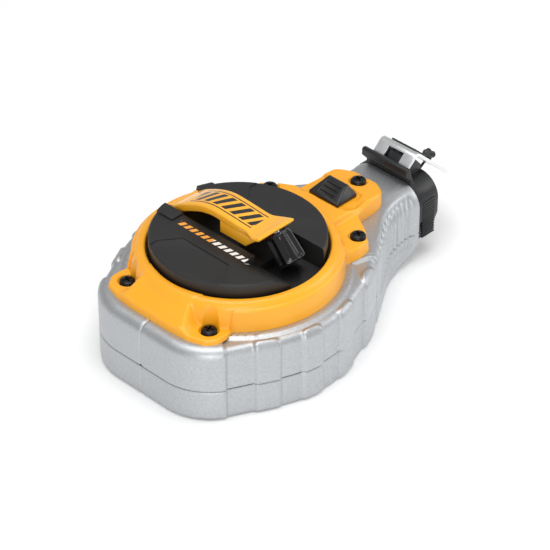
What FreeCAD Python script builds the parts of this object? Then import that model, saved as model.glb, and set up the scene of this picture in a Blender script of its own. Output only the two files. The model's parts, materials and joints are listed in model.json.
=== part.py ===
"""Chalk line reel: a pear-shaped cast housing, a geared crank, a clutch slide, a filling mouth and a hook.

Frame: the origin lies on the spool axis at the flat back of the housing, +Z points from the back to the
crank, +X points along the neck to the mouth and +Y is to the left of the neck. Sizes are in millimetres.
"""
import FreeCAD, Part
import Sketcher
import math
import os
from FreeCAD import Placement, Rotation, Vector

doc = FreeCAD.newDocument("chalk_line_reel")
sheet = doc.addObject("Spreadsheet::Sheet", "dims")

# Driving dimensions, each with the alias that every sub-part reads.
DIMENSIONS = {
    # housing outline, seen from above
    "body_radius": 57.0, "tail_reach": 61.0, "tail_corner": 28.0, "tail_angle": 117.0,
    "flank_angle": 70.5, "flank_lead": 21.6, "flank_turn": 33.0, "flank_blend": 60.0,
    "neck_half": 20.5, "neck_blend": 40.0, "neck_run": 19.544,
    # housing section
    "wall": 2.5, "parting": 16.0, "deck": 38.0, "deck_thick": 2.5, "crown": 40.5, "crown_long": 37.0,
    "keel_long": 24.0, "keel_rise": 7.0, "shoulder_round": 5.0, "sole_round": 2.5,
    "gasket_inset": 1.95, "gasket_wide": 0.8, "gasket_half": 0.5, "boss_radius": 4.5,
    # fits
    "running_gap": 0.05, "free_gap": 0.3,
    # spool and shaft
    "shaft_radius": 3.0, "shaft_base": 2.6, "shaft_top": 48.5, "bush_radius": 5.0, "bush_flange": 7.0,
    "spool_base": 6.8, "spool_top": 34.2, "spool_radius": 42.0, "spool_flange": 1.6, "hub_radius": 12.0,
    "pack_radius": 27.0, "line_radius": 0.6,
    # planetary gears
    "module": 0.8, "sun_teeth": 12.0, "planet_teeth": 24.0, "planet_count": 3.0, "gear_base": 38.6,
    "gear_top": 42.4, "ring_rim": 30.0, "backlash": 0.12, "planet_pin": 2.0,
    "carrier_base": 42.8, "carrier_top": 44.8, "carrier_radius": 22.0, "carrier_shank": 1.2,
    "carrier_head": 2.5, "carrier_recess": 1.2, "carrier_screw_deep": 3.0,
    # crank disc
    "disc_radius": 40.0, "disc_base": 43.4, "disc_top": 57.0, "slot_low": -7.5, "slot_high": 11.5,
    "slot_floor": 50.0, "bay_low": -7.0, "bay_high": 17.0, "bay_floor": 45.4, "bay_end": -18.0,
    "slot_step": 2.0, "facet_depth": 0.5, "facet_reach": 20.1, "facet_half": 14.5,
    "facet_spread": 9.0, "facet_flare": 6.7, "ear_wide": 7.0, "ear_long": 13.0, "ear_inset": 1.4,
    "ear_top": 57.8,
    # crank arm and knob
    "arm_low": -5.5, "arm_high": 11.0, "hinge_inset": 3.6, "hinge_level": 53.4, "knuckle_radius": 3.0,
    "arm_pin": 1.5, "arch_top": 66.7, "arm_thick": 4.3, "lip_reach": 20.3, "lip_level": 68.4,
    "knob_middle": 7.0, "knob_root_reach": 17.1, "knob_root_level": 61.4, "knob_tilt": 47.0,
    "knob_long": 15.0, "knob_small": 6.4, "knob_large": 7.2, "axle_radius": 1.6, "knob_room": 0.6,
    # cover plate
    "disc_clearance": 1.3, "ring_wide": 6.7, "ring_crest": 51.5, "ear_level": 44.0, "plateau": 46.5,
    "tail_plate": 39.6, "cover_tip_back": 15.0, "cover_roof": 43.0,
    # screws
    "screw_head": 3.7, "screw_head_tall": 2.4, "screw_shank": 1.9, "screw_long": 9.0, "screw_sunk": 1.0,
    "ear_screw_x": 48.5, "ear_screw_y": 27.8, "tail_screw_x": -43.6, "tail_screw_y": 25.7,
    "tip_screw_back": 20.5,
    # clutch slide and pawl
    "button_low": 56.5, "button_high": 69.5, "button_near": -7.5, "button_far": 10.5, "button_base": 45.2,
    "button_top": 51.4, "button_crest": 9.0, "button_slope": 3.2, "pocket_floor": 45.0,
    "clutch_travel": 5.0, "pawl_travel": 2.0,
    "pawl_base": 38.5, "pawl_top": 40.5, "cam_base": 40.8, "cam_top": 42.6, "cam_pin": 1.5, "cam_pin_x": 50.5,
    # mouth, felt and hook
    "mouth_long": 13.0, "mouth_base": 8.0, "mouth_round": 11.0, "mouth_pin": 1.2, "mouth_knuckle": 2.7,
    "mouth_pin_ahead": 3.2, "mouth_pin_z": 9.8, "lip_half": 14.0, "thumb_level": 49.8, "felt_half": 13.0,
    "line_level": 26.0,
    "hook_half": 11.0, "hook_thick": 1.6, "hook_bend_ahead": 8.0, "hook_bend_z": 53.2,
    "hook_plate_long": 34.0, "hook_flange_long": 9.0, "hook_slope": 43.0,
}
for row, (alias, value) in enumerate(DIMENSIONS.items(), start=1):
    sheet.set(f"A{row}", alias)
    sheet.set(f"B{row}", str(value))
    sheet.setAlias(f"B{row}", alias)
doc.recompute()

SUBPARTS = []
Z_AXIS = Vector(0, 0, 1)


def size(alias):
    return float(sheet.get(alias))


# ---------------------------------------------------------------- ways of making a sub-part

def keep(sub_part, label):
    """Names a finished object and lists it as a sub-part of its own."""
    sub_part.Label = label
    SUBPARTS.append(sub_part)
    return sub_part


def feature(label, shape):
    """A sub-part whose shape is worked out from the sheet by Part's own functions."""
    solid = doc.addObject("Part::Feature", label)
    solid.Shape = shape.removeSplitter()
    solid.Placement = Placement()
    return keep(solid, label)


def closed_sketch(body, role, corners):
    """A closed polygon on one of the body's origin planes; every corner is a pair of sheet expressions."""
    sketch = body.newObject("Sketcher::SketchObject", body.Name + "_sketch")
    plane = next(item for item in body.Origin.OriginFeatures if item.Role == role)
    sketch.AttachmentSupport = (plane, [""])
    sketch.MapMode = "FlatFace"
    points = [Vector(*(float(sketch.evalExpression(text)) for text in corner), 0) for corner in corners]
    for index, start in enumerate(points):
        end = points[(index + 1) % len(points)]
        sketch.addGeometry(Part.LineSegment(start, end))
    for index, (corner, point) in enumerate(zip(corners, points)):
        following = (index + 1) % len(points)
        constrain(sketch, "Coincident", index, 2, following, 1)
        for kind, text, distance in (("DistanceX", corner[0], point.x), ("DistanceY", corner[1], point.y)):
            number = constrain(sketch, kind, -1, 1, index, 1, distance)
            sketch.setExpression(f"Constraints[{number}]", text)
    return sketch


def constrain(sketch, kind, *details):
    return sketch.addConstraint(Sketcher.Constraint(kind, *details))


def turned(label, corners):
    """A body turned about the spool axis from corners (radius, height)."""
    body = doc.addObject("PartDesign::Body", label)
    sketch = closed_sketch(body, "XZ_Plane", corners)
    turn = body.newObject("PartDesign::Revolution", label + "_turn")
    turn.Profile = sketch
    turn.ReferenceAxis = (sketch, ["V_Axis"])
    turn.Angle = 360
    sketch.Visibility = False
    return keep(body, label)


def cylinder(name, radius, low, high, x="0", y="0"):
    """A Part cylinder about a line parallel to Z; every value is a sheet expression."""
    rod = doc.addObject("Part::Cylinder", name)
    rod.setExpression("Radius", radius)
    rod.setExpression("Height", f"({high}) - ({low})")
    for side, text in (("x", x), ("y", y), ("z", low)):
        rod.setExpression(f".Placement.Base.{side}", text)
    return rod


def joined(name, pieces):
    union = doc.addObject("Part::MultiFuse", name)
    union.Shapes = pieces
    return union


def less(name, base, tool):
    """The base with the tool cut out of it."""
    rest = doc.addObject("Part::Cut", name)
    rest.Base = base
    rest.Tool = tool
    return rest


def group(name, pieces):
    """Separate solids of identical fasteners in one sub-part."""
    compound = doc.addObject("Part::Compound", name)
    compound.Links = pieces
    return compound


def prism(corners, low, high, normal=Z_AXIS):
    """A straight-sided solid: corners (u, v) at one level, raised along the normal.

    For the Z normal u, v are x, y; for the Y normal they are x, z; for the X normal they are y, z.
    """
    places = {
        2: lambda u, v: Vector(u, v, low),
        1: lambda u, v: Vector(u, low, v),
        0: lambda u, v: Vector(low, u, v),
    }
    axis = max(range(3), key=lambda index: normal[index])
    wire = Part.makePolygon([places[axis](u, v) for u, v in corners + corners[:1]])
    return Part.Face(wire).extrude(normal * (high - low))


def box(low, high):
    """A solid box between two opposite corners."""
    spans = [far - near for near, far in zip(low, high)]
    return Part.makeBox(*spans, Vector(*low))


def rod(radius, start, end):
    """A solid rod between two points."""
    way = Vector(*end) - Vector(*start)
    return Part.makeCylinder(radius, way.Length, Vector(*start), way)


# ---------------------------------------------------------------- housing outline

def tangent_meet(first, second, radius):
    """Where the tangents of a circle about the spool axis at two angles cross."""
    half = math.radians(second - first) / 2
    middle = math.radians(first + second) / 2
    reach = radius / math.cos(half)
    return Vector(reach * math.cos(middle), reach * math.sin(middle), 0)


def waist_corner():
    """Where the body's straight flank meets the neck's side, before the corner between them is rounded."""
    flank_angle = math.radians(size("flank_angle"))
    lead = Vector(math.sin(flank_angle), -math.cos(flank_angle), 0)
    touch = Vector(math.cos(flank_angle), math.sin(flank_angle), 0) * size("body_radius")
    hip = touch + lead * size("flank_lead")
    waist_x = hip.x + (hip.y - size("neck_half")) / math.tan(math.radians(size("flank_turn")))
    return hip, Vector(waist_x, size("neck_half"), 0)


def neck_end():
    """The x of the neck's end face."""
    return waist_corner()[1].x + size("neck_run")


def outline_corners():
    """The left half of the pear: (corner, rounding) from the tail to the neck."""
    radius = size("body_radius")
    tail_angle = math.radians(size("tail_angle"))
    tail_y = (radius + size("tail_reach") * math.cos(tail_angle)) / math.sin(tail_angle)
    hip, waist = waist_corner()
    return [
        (Vector(-size("tail_reach"), tail_y, 0), size("tail_corner")),
        (tangent_meet(size("flank_angle"), size("tail_angle"), radius), radius),
        (hip, size("flank_blend")),
        (waist, size("neck_blend")),
        (Vector(neck_end(), size("neck_half"), 0), 0),
    ]


def rounded_wire(corners):
    """A closed wire through corners, each rounded by a tangent arc of its own radius."""
    edges = []
    ends = []
    count = len(corners)
    for index, (corner, radius) in enumerate(corners):
        before = (corners[index - 1][0] - corner).normalize()
        after = (corners[(index + 1) % count][0] - corner).normalize()
        if radius == 0:
            ends.append((corner, corner))
            continue
        half = before.getAngle(after) / 2
        run = radius / math.tan(half)
        middle = corner + (before + after).normalize() * (radius / math.sin(half) - radius)
        ends.append((corner + before * run, corner + after * run))
        edges.append(Part.Arc(ends[-1][0], middle, ends[-1][1]).toShape())
    for index in range(count):
        start, end = ends[index][1], ends[(index + 1) % count][0]
        if start.distanceToPoint(end) > 1e-6:
            edges.append(Part.LineSegment(start, end).toShape())
    return Part.Wire(Part.__sortEdges__(edges))


def outline_face(inset=0.0):
    left = outline_corners()
    right = [(Vector(point.x, -point.y, 0), radius) for point, radius in reversed(left)]
    face = Part.Face(rounded_wire(left + right))
    return face.makeOffset2D(-inset) if inset else face


def neck_section(x, half, base, top, bend):
    """A cross-section of the neck: rounded top corners and straight sides, with the same edges anywhere."""
    give = bend * (1 - math.sqrt(0.5))

    def at(y, z):
        return Vector(x, y, z)

    left = Part.Arc(at(half, top - bend), at(half - give, top - give), at(half - bend, top)).toShape()
    right = Part.Arc(at(bend - half, top), at(give - half, top - give), at(-half, top - bend)).toShape()
    lines = [(at(half, base), at(half, top - bend)), (at(half - bend, top), at(bend - half, top)),
             (at(-half, top - bend), at(-half, base)), (at(-half, base), at(half, base))]
    sides = [Part.LineSegment(start, end).toShape() for start, end in lines]
    return Part.Wire([sides[0], left, sides[1], right, sides[2], sides[3]])


def neck_crown(inset):
    """The part of the neck that swells above the deck towards the mouth."""
    start, end = neck_end() - size("crown_long"), neck_end()
    bend = size("mouth_round")
    base = size("parting") + 4
    near = neck_section(start, size("neck_half") + 4 - inset, base, size("deck") - 0.2 - inset, bend)
    far = neck_section(end, size("neck_half") - inset, base, size("crown") - inset, bend)
    return Part.makeLoft([near, far], True, True)


def keel(inset):
    """What the rising keel takes away below the neck."""
    start, end = neck_end() - size("keel_long"), neck_end() + 1
    rise = size("keel_rise") + inset
    corners = [(start, -1), (start, inset), (start + 12, inset + size("keel_rise") * 0.28), (end, rise),
               (end, -1)]
    reach = size("body_radius")
    return prism(corners, -reach, reach, Vector(0, 1, 0))


def housing_block(inset=0.0):
    """The outline raised to the deck with a rounded shoulder, the neck's crown added and the keel cut off."""
    raised = outline_face(inset).extrude(Z_AXIS * (size("deck") - 2 * inset))
    raised.translate(Z_AXIS * inset)
    end = neck_end() - inset - 1e-3
    shoulder = [edge for edge in raised.Edges if edge.BoundBox.ZMin > size("deck") - inset - 1e-3
                and edge.BoundBox.XMin < end]
    raised = raised.makeFillet(size("shoulder_round") - inset, shoulder)
    if inset == 0:
        sole = [edge for edge in raised.Edges if edge.BoundBox.ZMax < 1e-3 and edge.BoundBox.XMin < end]
        raised = raised.makeFillet(size("sole_round"), sole)
    return raised.fuse(neck_crown(inset)).cut(keel(inset))


def shell_screw_places():
    """Where the six screws join the shells: two at the tail, two at the waist, two in the neck."""
    edge = size("body_radius") - size("wall") - size("boss_radius") - 1.0
    places = []
    for angle in (150, 50):
        spot = (edge * math.cos(math.radians(angle)), edge * math.sin(math.radians(angle)))
        places += [spot, (spot[0], -spot[1])]
    neck = (neck_end() - 8, size("neck_half") - size("wall") - size("boss_radius") + 1.0)
    return places + [neck, (neck[0], -neck[1])]


def gasket_ring(play=0.0):
    """The seal in the parting plane, in a groove half in each shell."""
    middle, half = size("gasket_inset"), size("gasket_wide") / 2
    low = size("parting") - size("gasket_half") - play
    high = size("parting") + size("gasket_half") + play
    outer = outline_face(middle - half).extrude(Z_AXIS * (high - low))
    inner = outline_face(middle + half).extrude(Z_AXIS * (high - low))
    ring = outer.cut(inner)
    ring.translate(Vector(0, 0, low))
    return ring.common(box((-200, -200, 0), (neck_end() - 6, 200, 100)))


def screw_bosses(low, high):
    return [rod(size("boss_radius"), (x, y, low), (x, y, high)) for x, y in shell_screw_places()]


def mouth_window():
    """The opening in the end of the neck through which the line leaves and chalk is poured."""
    half = size("neck_half") - 6.5
    end = neck_end()
    return box((end - 10, -half, size("keel_rise") + 6), (end + 1, half, size("crown") - 6.5))


def lower_shell():
    outside = housing_block().common(box((-300, -300, -1), (300, 300, size("parting"))))
    lower_half = box((-300, -300, size("wall")), (300, 300, size("parting") + 1))
    inside = housing_block(size("wall")).common(lower_half)
    bush_wall = rod(size("bush_radius") + 3, (0, 0, size("wall")), (0, 0, size("wall") * 2))
    sunk = size("wall") * 1.4
    shell = outside.cut(inside)
    bosses = [boss.common(outside) for boss in screw_bosses(1.0, size("parting") - 0.05)]
    shell = shell.fuse(bosses + [bush_wall])
    lug_x, lug_z = neck_end() + size("mouth_pin_ahead"), size("mouth_pin_z")
    half = size("lip_half") / 2
    lug = rod(size("mouth_knuckle"), (lug_x, -half, lug_z), (lug_x, half, lug_z))
    web = box((neck_end() - 6, -half, lug_z - size("mouth_knuckle")), (lug_x, half, lug_z + 1.5))
    shell = shell.fuse([lug, web])
    bush_seat = rod(size("bush_radius"), (0, 0, size("wall")), (0, 0, size("parting")))
    cuts = [bush_seat, gasket_ring(0.02), mouth_window()]
    cuts += [rod(size("mouth_pin") + size("running_gap"), (lug_x, -30, lug_z), (lug_x, 30, lug_z))]
    for x, y in shell_screw_places():
        cuts.append(rod(size("screw_shank") + size("running_gap"), (x, y, -1), (x, y, size("parting") + 1)))
        foot = 8 if x > neck_end() - size("keel_long") else 0
        cuts.append(rod(size("screw_head") + 0.2, (x, y, -1), (x, y, sunk + foot)))
    return feature("lower_shell", shell.cut(cuts))


def upper_shell():
    outside = housing_block().common(box((-300, -300, size("parting")), (300, 300, 100)))
    roof = size("crown") - size("deck_thick")
    inside = housing_block(size("wall")).common(box((-300, -300, size("parting") - 1), (300, 300, roof)))
    bosses = [boss.common(outside) for boss in screw_bosses(size("parting") + 0.05, size("deck") - 1)]
    shell = outside.cut(inside).fuse(bosses)
    cuts = [rod(size("bush_radius"), (0, 0, 0), (0, 0, 100)), gasket_ring(0.02), mouth_window()]
    pilot = size("screw_shank") + size("running_gap")
    for x, y in shell_screw_places():
        cuts.append(rod(pilot, (x, y, 0), (x, y, size("parting") + 9)))
    for x, y, seat in cover_screw_places():
        cuts.append(rod(pilot, (x, y, seat - size("screw_long") - 1), (x, y, 100)))
    return feature("upper_shell", shell.cut(cuts))


def shell_screws():
    """Pan-head screws driven from the back into the bosses of the upper shell."""
    screws = []
    for number, (x, y) in enumerate(shell_screw_places()):
        seat = size("wall") * 1.4 + (8 if x > neck_end() - size("keel_long") else 0)
        head = rod(size("screw_head"), (x, y, seat - size("screw_head_tall")), (x, y, seat))
        shank = rod(size("screw_shank"), (x, y, seat), (x, y, size("parting") + 8))
        recess = box((x - 0.4, y - 1.8, seat - 5), (x + 0.4, y + 1.8, seat - 1.2))
        across = box((x - 1.8, y - 0.4, seat - 5), (x + 1.8, y + 0.4, seat - 1.2))
        screws.append(head.fuse(shank).cut([recess, across]).removeSplitter())
    return feature_group("shell_screws", screws)


def feature_group(label, solids):
    """Separate identical fasteners as one sub-part."""
    holder = doc.addObject("Part::Feature", label)
    holder.Shape = Part.makeCompound(solids)
    holder.Placement = Placement()
    return keep(holder, label)


# ---------------------------------------------------------------- cover plate and its screws

def cover_screw_places():
    """(x, y, height of the seat) of the five visible screws."""
    tail_seat = size("tail_plate") - size("screw_sunk")
    ear_seat = size("ear_level") - size("screw_sunk")
    places = [(neck_end() - size("tip_screw_back"), 0.0, size("plateau") - size("screw_sunk") - 0.5)]
    for side in (-1, 1):
        places.append((size("tail_screw_x"), side * size("tail_screw_y"), tail_seat))
        places.append((size("ear_screw_x"), side * size("ear_screw_y"), ear_seat))
    return places


def cover_screws():
    screws = []
    for x, y, seat in cover_screw_places():
        head = rod(size("screw_head"), (x, y, seat), (x, y, seat + size("screw_head_tall")))
        crown = [edge for edge in head.Edges if edge.BoundBox.ZMin > seat + 1]
        head = head.makeFillet(size("screw_head_tall") * 0.5, crown)
        shank = rod(size("screw_shank"), (x, y, seat - size("screw_long")), (x, y, seat))
        recess = box((x - 0.4, y - 1.8, seat + 1.1), (x + 0.4, y + 1.8, seat + 5))
        across = box((x - 1.8, y - 0.4, seat + 1.1), (x + 1.8, y + 0.4, seat + 5))
        screws.append(head.fuse(shank).cut([recess, across]).removeSplitter())
    return feature_group("cover_screws", screws)


def mirrored_outline(half):
    """A closed outline from its left half, listed from the tail to the neck."""
    return half + [(x, -y) for x, y in reversed(half) if y > 0]


def cover_plate():
    """The moulded cover: a bearing ring for the crank disc with a tail flap and a neck block."""
    deck = size("deck")
    bore = size("disc_radius") + size("disc_clearance")
    foot, crest = bore + size("ring_wide"), size("ring_crest")
    section = [(bore, deck), (foot, deck), (foot - 0.6, deck + 2), (foot - 2.8, crest - 2.4),
               (foot - 3.8, crest - 0.6), (foot - 4.8, crest), (bore + 0.8, crest), (bore, crest - 0.8)]
    wire = Part.makePolygon([Vector(r, 0, level) for r, level in section + section[:1]])
    ring = Part.Face(wire).revolve(Vector(), Z_AXIS, 360)
    screw_x, screw_y = size("tail_screw_x"), size("tail_screw_y")
    flap_end = -size("tail_reach") + 7
    tail_half = [(flap_end, 8), (flap_end + 0.4, 18), (screw_x - 8, screw_y + 3),
                 (screw_x - 4, screw_y + 7.4), (screw_x + 3, screw_y + 7.4), (screw_x + 13, screw_y + 8)]
    tail = prism(mirrored_outline(tail_half), deck, size("tail_plate"))
    slope = [(screw_x, deck), (flap_end, deck), (flap_end, size("tail_plate")),
             (flap_end + 3, size("tail_plate") + 1), (-foot + 3.5, crest - 1.0), (-bore - 1, crest - 0.6),
             (-bore - 1, deck)]
    saddle = prism(slope, -18, 18, Vector(0, 1, 0))
    ear_x, ear_y = size("ear_screw_x"), size("ear_screw_y")
    ear_half = [(ear_x - 20, ear_y + 6), (ear_x - 11, ear_y + 5.4), (ear_x - 2, ear_y + 5.4),
                (ear_x + 4, ear_y + 2), (ear_x + 13.5, ear_y - 12)]
    ears = prism(mirrored_outline(ear_half), deck, size("ear_level"))
    tip = neck_end() - size("cover_tip_back")
    neck_half = [(30, 15.5), (tip - 8, 15.5), (tip, 8)]
    neck = prism(mirrored_outline(neck_half), deck, size("plateau"))
    cover = ring.fuse([tail, saddle, ears, neck])
    cuts = [rod(bore, (0, 0, 0), (0, 0, 100)), housing_block()]
    cuts.append(box((0, -13, deck - 1), (size("button_high") + 4.5, 13, size("cover_roof"))))
    near, far = size("button_near"), size("button_far") + size("clutch_travel")
    low, high = size("button_low"), size("button_high")
    cuts.append(box((low - 1.2, near - 2.2, size("pocket_floor")), (high + 1.2, far + 0.8, 100)))
    cuts.append(box((low + 3, -6, deck), (high - 3, 6 + size("clutch_travel"), 100)))
    for x, y, seat in cover_screw_places():
        cuts.append(rod(size("screw_head") + 0.3, (x, y, seat), (x, y, 100)))
        cuts.append(rod(size("screw_shank") + 0.2, (x, y, 0), (x, y, 100)))
    return feature("cover_plate", cover.cut(cuts))


# ---------------------------------------------------------------- spool, shaft and bushes

def bushes_and_seal():
    bore = "dims.shaft_radius + dims.running_gap"
    seat, flange_top = "dims.wall * 2", "dims.spool_base - 0.4"
    turned("spool_bush_lower", [(bore, "dims.wall"), ("dims.bush_radius", "dims.wall"),
                                ("dims.bush_radius", seat), ("dims.bush_flange", seat),
                                ("dims.bush_flange", flange_top), (bore, flange_top)])
    under = "dims.deck - dims.deck_thick"
    turned("spool_bush_upper", [(bore, under + " - 0.6"), ("dims.bush_flange", under + " - 0.6"),
                                ("dims.bush_flange", under), ("dims.bush_radius", under),
                                ("dims.bush_radius", "dims.deck"), (bore, "dims.deck")])
    turned("shaft_felt_seal", [("dims.bush_flange + 0.3", "dims.spool_top + 0.3"),
                               ("dims.bush_flange + 3", "dims.spool_top + 0.3"),
                               ("dims.bush_flange + 3", under), ("dims.bush_flange + 0.3", under)])


def spool_and_line():
    low, high = "dims.spool_base + dims.spool_flange", "dims.spool_top - dims.spool_flange"
    turned("spool", [("dims.shaft_radius", "dims.spool_base"), ("dims.spool_radius", "dims.spool_base"),
                     ("dims.spool_radius", low), ("dims.hub_radius", low), ("dims.hub_radius", high),
                     ("dims.spool_radius", high), ("dims.spool_radius", "dims.spool_top"),
                     ("dims.shaft_radius", "dims.spool_top")])
    turned("line_pack", [("dims.hub_radius", low), ("dims.pack_radius - 0.8", low),
                         ("dims.pack_radius", low + " + 1.2"), ("dims.pack_radius", high + " - 1.2"),
                         ("dims.pack_radius - 0.8", high), ("dims.hub_radius", high)])
    turned("spool_shaft", [("0", "dims.shaft_base"), ("dims.shaft_radius - 0.4", "dims.shaft_base"),
                           ("dims.shaft_radius", "dims.shaft_base + 0.4"),
                           ("dims.shaft_radius", "dims.shaft_top - 0.5"),
                           ("dims.shaft_radius - 0.5", "dims.shaft_top"), ("0", "dims.shaft_top")])


def line_feed():
    """The stretch of line from the top of the winding, tangent to it, to the door plane."""
    reach = size("pack_radius") + size("line_radius") + size("free_gap")
    far = neck_end() + size("mouth_long")
    angle = math.acos(reach / far)
    middle = (size("spool_base") + size("spool_top")) / 2
    start = Vector(reach * math.cos(angle), reach * math.sin(angle), middle)
    goal = Vector(far, 0, size("line_level"))
    share = (neck_end() - 0.4 - start.x) / (goal.x - start.x)
    end = start + (goal - start) * share
    return feature("line_feed", rod(size("line_radius"), tuple(start), tuple(end)))


# ---------------------------------------------------------------- planetary gears and carrier

def gear_wire(teeth, centre, turned_by, inward=False):
    """A closed tooth outline with straight flanks, with a tooth centred on turned_by degrees."""
    module = size("module")
    pitch = module * teeth / 2
    slant = math.tan(math.radians(20))
    half = (math.pi * module / 2 - size("backlash")) / 2
    step = 2 * math.pi / teeth
    tip, root = (-0.85 * module, 1.05 * module) if inward else (0.85 * module, -1.05 * module)
    corners = []
    for tooth in range(int(teeth)):
        middle = math.radians(turned_by) + tooth * step
        foot_half = (half + abs(root) * slant) / pitch
        tip_half = (half - abs(tip) * slant) / pitch
        for angle, reach in ((-foot_half, root), (-tip_half, tip), (tip_half, tip), (foot_half, root)):
            outward = Vector(math.cos(middle + angle), math.sin(middle + angle), 0)
            corners.append(centre + outward * (pitch + reach))
    return Part.makePolygon(corners + corners[:1])


def gear(teeth, centre, turned_by, bore):
    """An external gear between the gear levels, with a plain bore."""
    centre = Vector(*centre)
    low, high = size("gear_base"), size("gear_top")
    wire = gear_wire(teeth, centre + Z_AXIS * low, turned_by)
    disc = Part.Face(wire).extrude(Z_AXIS * (high - low))
    return disc.cut(rod(bore, (centre.x, centre.y, low - 1), (centre.x, centre.y, high + 1)))


def planet_places():
    """(angle in degrees, x, y) of every planet's pin."""
    reach = size("module") * (size("sun_teeth") + size("planet_teeth")) / 2
    count = int(size("planet_count"))
    angles = [360 / count * number for number in range(count)]
    return [(a, reach * math.cos(math.radians(a)), reach * math.sin(math.radians(a))) for a in angles]


def gears():
    feature("sun_gear", gear(size("sun_teeth"), (0, 0, 0), 0, size("shaft_radius")))
    bore = size("planet_pin") + size("running_gap")
    for number, (angle, x, y) in enumerate(planet_places(), start=1):
        facing = angle + 180 + 180 / size("planet_teeth")
        feature(f"planet_gear_{number}", gear(size("planet_teeth"), (x, y, 0), facing, bore))
    ring_teeth = size("sun_teeth") + 2 * size("planet_teeth")
    blank = rod(size("ring_rim"), (0, 0, size("deck")), (0, 0, size("gear_top")))
    inner_teeth = gear_wire(ring_teeth, Vector(0, 0, size("deck") - 1), 0, inward=True)
    hollow = Part.Face(inner_teeth).extrude(Z_AXIS * 20)
    notches = []
    for number in range(12):
        notch = box((size("ring_rim") - 1.6, -2.3, 0), (size("ring_rim") + 5, 2.3, 100))
        notch.rotate(Vector(), Z_AXIS, 30 * number)
        notches.append(notch)
    feature("ring_gear", blank.cut([hollow] + notches))


def planet_carrier():
    base, top = "dims.carrier_base", "dims.carrier_top"
    plate = cylinder("carrier_plate", "dims.carrier_radius", base, top)
    centre = cylinder("carrier_centre", "dims.shaft_radius + dims.free_gap", base, top)
    holes = [centre]
    for number, (angle, _, _) in enumerate(planet_places(), start=1):
        turn = f"{angle}deg"
        reach = "dims.module * (dims.sun_teeth + dims.planet_teeth) / 2"
        holes.append(cylinder(f"pin_hole_{number}", "dims.planet_pin", base, top,
                              f"{reach} * cos({turn})", f"{reach} * sin({turn})"))
        between = f"{angle + 60}deg"
        spot = (f"(dims.carrier_radius - 5) * cos({between})", f"(dims.carrier_radius - 5) * sin({between})")
        hole, sink = "dims.carrier_shank + 0.05", "dims.carrier_head + 0.1"
        seat = base + " + dims.carrier_recess"
        holes.append(cylinder(f"carrier_screw_hole_{number}", hole, base, top, *spot))
        holes.append(cylinder(f"carrier_screw_sink_{number}", sink, base, seat, *spot))
    keep(less("planet_carrier_cut", plate, joined("carrier_holes", holes)), "planet_carrier")


def carrier_fasteners():
    pins = []
    screws = []
    base, top = "dims.carrier_base", "dims.carrier_top"
    for number, (angle, _, _) in enumerate(planet_places(), start=1):
        reach = "dims.module * (dims.sun_teeth + dims.planet_teeth) / 2"
        pins.append(cylinder(f"planet_pin_{number}", "dims.planet_pin", "dims.gear_base - 0.3", top,
                             f"{reach} * cos({angle}deg)", f"{reach} * sin({angle}deg)"))
        between = f"{angle + 60}deg"
        spot = (f"(dims.carrier_radius - 5) * cos({between})", f"(dims.carrier_radius - 5) * sin({between})")
        seat, end = base + " + dims.carrier_recess", top + " + dims.carrier_screw_deep"
        head = cylinder(f"carrier_screw_head_{number}", "dims.carrier_head", base + " + 0.1", seat, *spot)
        shank = cylinder(f"carrier_screw_shank_{number}", "dims.carrier_shank", seat, end, *spot)
        screws.append(joined(f"carrier_screw_{number}", [head, shank]))
    keep(group("planet_pin_set", pins), "planet_pins")
    keep(group("carrier_screw_set", screws), "carrier_screws")


# ---------------------------------------------------------------- crank disc, arm and knob

def hinge_reach():
    """The hinge line's distance from the spool axis; it follows the disc's rim."""
    return size("disc_radius") - size("hinge_inset")


def hinge_line(low, high, radius):
    """A rod on the arm's hinge line between two x values."""
    return rod(radius, (low, hinge_reach(), size("hinge_level")), (high, hinge_reach(), size("hinge_level")))


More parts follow.
